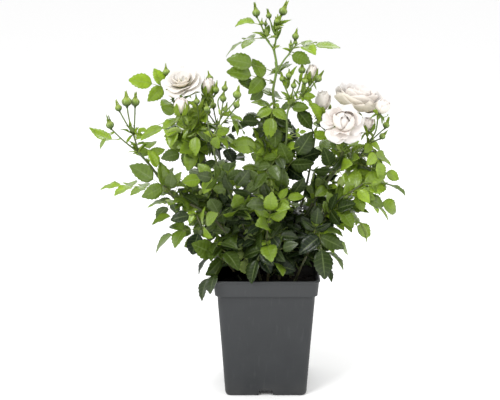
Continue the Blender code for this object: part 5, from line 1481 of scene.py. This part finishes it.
# The roses. Each is a spiral of furled petals with rings of wider ones opening round it. Petals are thin, soft and
# slightly ribbed, white to cream with a blush heart and a yellow-green claw, and their rims wave and roll back.
# The beige over their outer sides is partly cream and partly painted shade.
# A ring is (petals, profile of (reach, height) in millimetres at the claw, middle and rim, half angle).
PETAL_COLUMNS = 8
PETAL_ROWS = 9
PETAL_THICKNESS = 0.0003
ROSE_CLEARANCE = 0.0003
ROSES = {
    "rose_upper": {"turn": 0, "wave": 1.2, "blush": (0.10, 1.0), "rings": [
        (5, [(3, 4), (32, 9), (48, 27)], 50), (4, [(3, 5), (30, 12), (44, 32)], 59),
        (4, [(3, 7), (26, 16), (38, 37)], 58), (4, [(2, 8), (21, 20), (31, 40)], 56),
        (3, [(2, 10), (16, 23), (23, 42)], 70), (3, [(2, 10), (11, 24), (15, 41)], 74),
        (2, [(1, 9), (6, 22), (6, 39)], 86)]},
    "rose_front": {"turn": 18, "wave": 4.2, "blush": (0.35, 1.0), "rings": [
        (5, [(3, 3), (25, 5), (39, 1)], 39), (4, [(3, 5), (24, 8), (35, 12)], 38),
        (3, [(3, 6), (20, 13), (28, 24)], 42), (3, [(2, 8), (19, 17), (11, 36)], 62),
        (3, [(2, 9), (16, 20), (1, 39)], 66), (3, [(2, 9), (13, 21), (-5, 38)], 74),
        (2, [(1, 9), (9, 21), (-5, 36)], 84)]},
    "rose_left": {"turn": 40, "wave": 1.6, "blush": (0.18, 0.18), "rings": [
        (5, [(3, 4), (23, 10), (38, 13)], 48), (4, [(3, 5), (21, 14), (32, 20)], 58),
        (3, [(3, 6), (18, 18), (25, 29)], 74), (3, [(2, 7), (13, 18), (15, 28)], 76),
        (2, [(1, 6), (7, 14), (6, 24)], 88)]},
}
OPENING_RINGS = [(3, [(0.35, 0.06), (0.98, 0.42), (0.94, 0.86)], 58), (3, [(0.33, 0.07), (0.90, 0.45), (0.74, 0.93)], 64),
                 (3, [(0.30, 0.07), (0.74, 0.46), (0.48, 0.97)], 72), (3, [(0.2, 0.07), (0.5, 0.46), (0.26, 0.98)], 84)]

bpy.ops.object.select_all(action="DESELECT")
bpy.ops.mesh.primitive_grid_add(x_subdivisions=PETAL_COLUMNS, y_subdivisions=PETAL_ROWS, size=2.0)
petal_points, petal_faces, petal_uv = shape_of(bpy.context.object)


def through_three(first, middle, last, share):
    """The parabola through three values at 0, a half and 1."""
    return (first * (2 * share - 1) * (share - 1) + middle * 4 * share * (1 - share)
            + last * share * (2 * share - 1))


def lay_petal(bundle, seat, frame, profile, angle, half_angle, tuck, roll, wave, point, tone, chance):
    """One cupped petal, its left side tucked under its neighbour, its rim rolled back and waved (millimetres)."""
    turns = [chance.uniform(0, math.tau) for _wave in range(3)]
    notch = chance.uniform(-0.03, 0.05)
    spot = Vector((chance.uniform(0, 99), chance.uniform(0, 99), 0))
    points = []
    for corner in petal_points:
        across, share = corner.x, (corner.y + 1) / 2
        row = share * (1 - 0.20 * abs(across) ** 2.8 + notch * math.cos(across * 4)
                       + point * math.exp(-(across * 4) ** 2))
        reach = through_three(profile[0][0], profile[1][0], profile[2][0], row)
        height = through_three(profile[0][1], profile[1][1], profile[2][1], row)
        ahead = max(row - 0.03, 0), min(row + 0.03, 1.1)
        run = [through_three(*(stop[axis] for stop in profile), ahead[1])
               - through_three(*(stop[axis] for stop in profile), ahead[0]) for axis in (0, 1)]
        slope = math.atan2(run[1], run[0])
        around = angle + math.radians(half_angle) * through_three(0.35, 1.0, 0.80, share) * across
        push = tuck * across * min(share * 2, 1)
        push -= roll * max(row - 0.62, 0) ** 2 / 0.14 * (0.6 + 0.4 * math.cos(across * 3 + turns[2]))
        push += wave * row ** 4 * (math.sin(across * 4.6 + turns[0]) + 0.5 * math.sin(across * 9.1 + turns[1]))
        push += 1.1 * noise.noise(Vector((across * 1.6, row * 1.6, 0)) + spot) * min(row * 2, 1) * min(wave, 1.5)
        out = reach - push * math.sin(slope)
        lift = height + push * math.cos(slope)
        points.append(seat + frame @ millimetres((out * math.cos(around), out * math.sin(around), lift)))
    bundle.add(points, petal_faces, tone, petal_uv)


petal_ribs = bpy.data.node_groups.new("petal_ribs", "ShaderNodeTree")
petal_ribs.interface.new_socket("Ribs", in_out="OUTPUT", socket_type="NodeSocketFloat")
strewn = wire(petal_ribs, "ShaderNodeMapping", {"Vector": wire(petal_ribs, "ShaderNodeUVMap",
                                                              uv_map="UVMap").outputs[0], "Scale": (26.0, 2.2, 1.0)})
put = petal_ribs.nodes.new("NodeGroupOutput")
petal_ribs.links.new(wire(petal_ribs, "ShaderNodeTexNoise", {"Vector": strewn.outputs[0], "Scale": 1.0,
                                                            "Detail": 3.0}).outputs["Fac"], put.inputs["Ribs"])


def petal_finish(name, edge, heart, claw, claw_top, blush_top, blush_full):
    material, tree, shader = new_finish(name, 0.52, 0.25)
    tone = wire(tree, "ShaderNodeAttribute", attribute_name="tone").outputs["Fac"]
    row = wire(tree, "ShaderNodeSeparateXYZ", {0: wire(tree, "ShaderNodeUVMap", uv_map="UVMap").outputs[0]}).outputs["Y"]
    ribs = wire(tree, "ShaderNodeGroup", node_tree=petal_ribs).outputs[0]
    inward = in_range(tree, tone, 0.1, blush_full)
    white = mixed(tree, maths(tree, "MULTIPLY", inward, in_range(tree, row, blush_top, 0.35)), edge, heart)
    white, blotch = uneven(tree, white, mixed(tree, 0.3, white, heart), 60.0, 0.4)
    white = mixed(tree, maths(tree, "MULTIPLY", in_range(tree, ribs, 0.5, 0.75), 0.12), white, heart)
    low = maths(tree, "MULTIPLY", in_range(tree, row, claw_top, 0.06), maths(tree, "MULTIPLY_ADD", inward, -0.65, 0.95))
    white = mixed(tree, low, white, claw)
    tree.links.new(white, shader.inputs["Base Color"])
    bumped(tree, shader, ribs, 0.0004, 0.5)
    glow = wire(tree, "ShaderNodeBsdfTranslucent", {"Color": white})
    blend = wire(tree, "ShaderNodeMixShader", {0: 0.18, 1: shader.outputs[0], 2: glow.outputs[0]})
    tree.links.new(blend.outputs[0], tree.nodes["Material Output"].inputs["Surface"])
    return material


inner_finish = petal_finish("petal_inner_side", colour(0.91, 0.90, 0.885), colour(0.92, 0.79, 0.73),
                            colour(0.62, 0.70, 0.25), 0.44, 1.15, 1.0)
# The outer side's beige, spread from the claw over the whole petal and strongest on the outer ring, is partly cream and
# partly painted shade.
outer_finish = petal_finish("petal_outer_side", colour(0.92, 0.875, 0.80), colour(0.93, 0.885, 0.86),
                            colour(0.64, 0.52, 0.27), 1.2, 4.0, 0.55)
green_inner_finish = petal_finish("opening_petal_inner_side", colour(0.92, 0.89, 0.865), colour(0.92, 0.79, 0.74),
                                  colour(0.48, 0.58, 0.20), 0.5, 1.15, 1.0)
green_outer_finish = petal_finish("opening_petal_outer_side", colour(0.91, 0.845, 0.765), colour(0.93, 0.85, 0.82),
                                  colour(0.52, 0.55, 0.21), 0.75, 4.0, 0.9)

for data in CANES.values():
    for route, _start, _end, load in data["shoots"]:
        if load[0] == "bud":
            continue
        name = load[1]
        chance = random.Random(name)
        aim = millimetres(load[-1])
        turning = turned_frame(aim)
        seat = millimetres(route[-1]) + aim.normalized() * (CUP_HEIGHT + ROSE_CLEARANCE)
        petals = Bundle()
        if load[0] == "bloom":
            rings, turn, wave = ROSES[name]["rings"], ROSES[name]["turn"], ROSES[name]["wave"]
            blush = ROSES[name]["blush"]
        else:
            height = aim.length * 1250
            rings = [(count, [(reach * load[2], rise * height) for reach, rise in profile], half)
                     for count, profile, half in OPENING_RINGS]
            turn, wave, blush = 0, 0.5, (0.65, 1.0)
        for ring, (count, profile, half_angle) in enumerate(rings):
            depth = ring / (len(rings) - 1)
            for index in range(count):
                angle = math.tau * (index + 0.5 * (ring % 2)) / count + math.radians(turn + chance.uniform(-6, 6))
                lift = chance.uniform(-1.0, 1.0) * (1 - depth) * min(wave, 1)
                closed = profile[2][0] < profile[1][0]
                if closed and wave > 1:
                    lift = chance.uniform(-2.5, 1.5)
                bent = [profile[0], (profile[1][0], profile[1][1] + lift * 0.5), (profile[2][0], profile[2][1] + lift)]
                lay_petal(petals, seat, turning, bent, angle, half_angle * chance.uniform(0.95, 1.06),
                          (2.0 - 1.2 * depth) * (1 if wave > 1 else 0.45),
                          0.0 if closed else (2.2 * (1 - depth)) * min(wave, 1),
                          0.9 if closed else wave * (1 - 0.75 * depth), 0.10 * (1 - depth) ** 2 * min(wave, 1),
                          min(blush[0] + (blush[1] - blush[0]) * depth + chance.uniform(-0.1, 0.1), 1), chance)
        finishes = [outer_finish, inner_finish]
        if load[0] == "opening" and load[2] < CLASPED:
            finishes = [green_outer_finish, green_inner_finish]
        piece = petals.piece("petals_of_" + name, finishes, "petals", [name])
        thicken(piece, PETAL_THICKNESS, -1.0, 0)
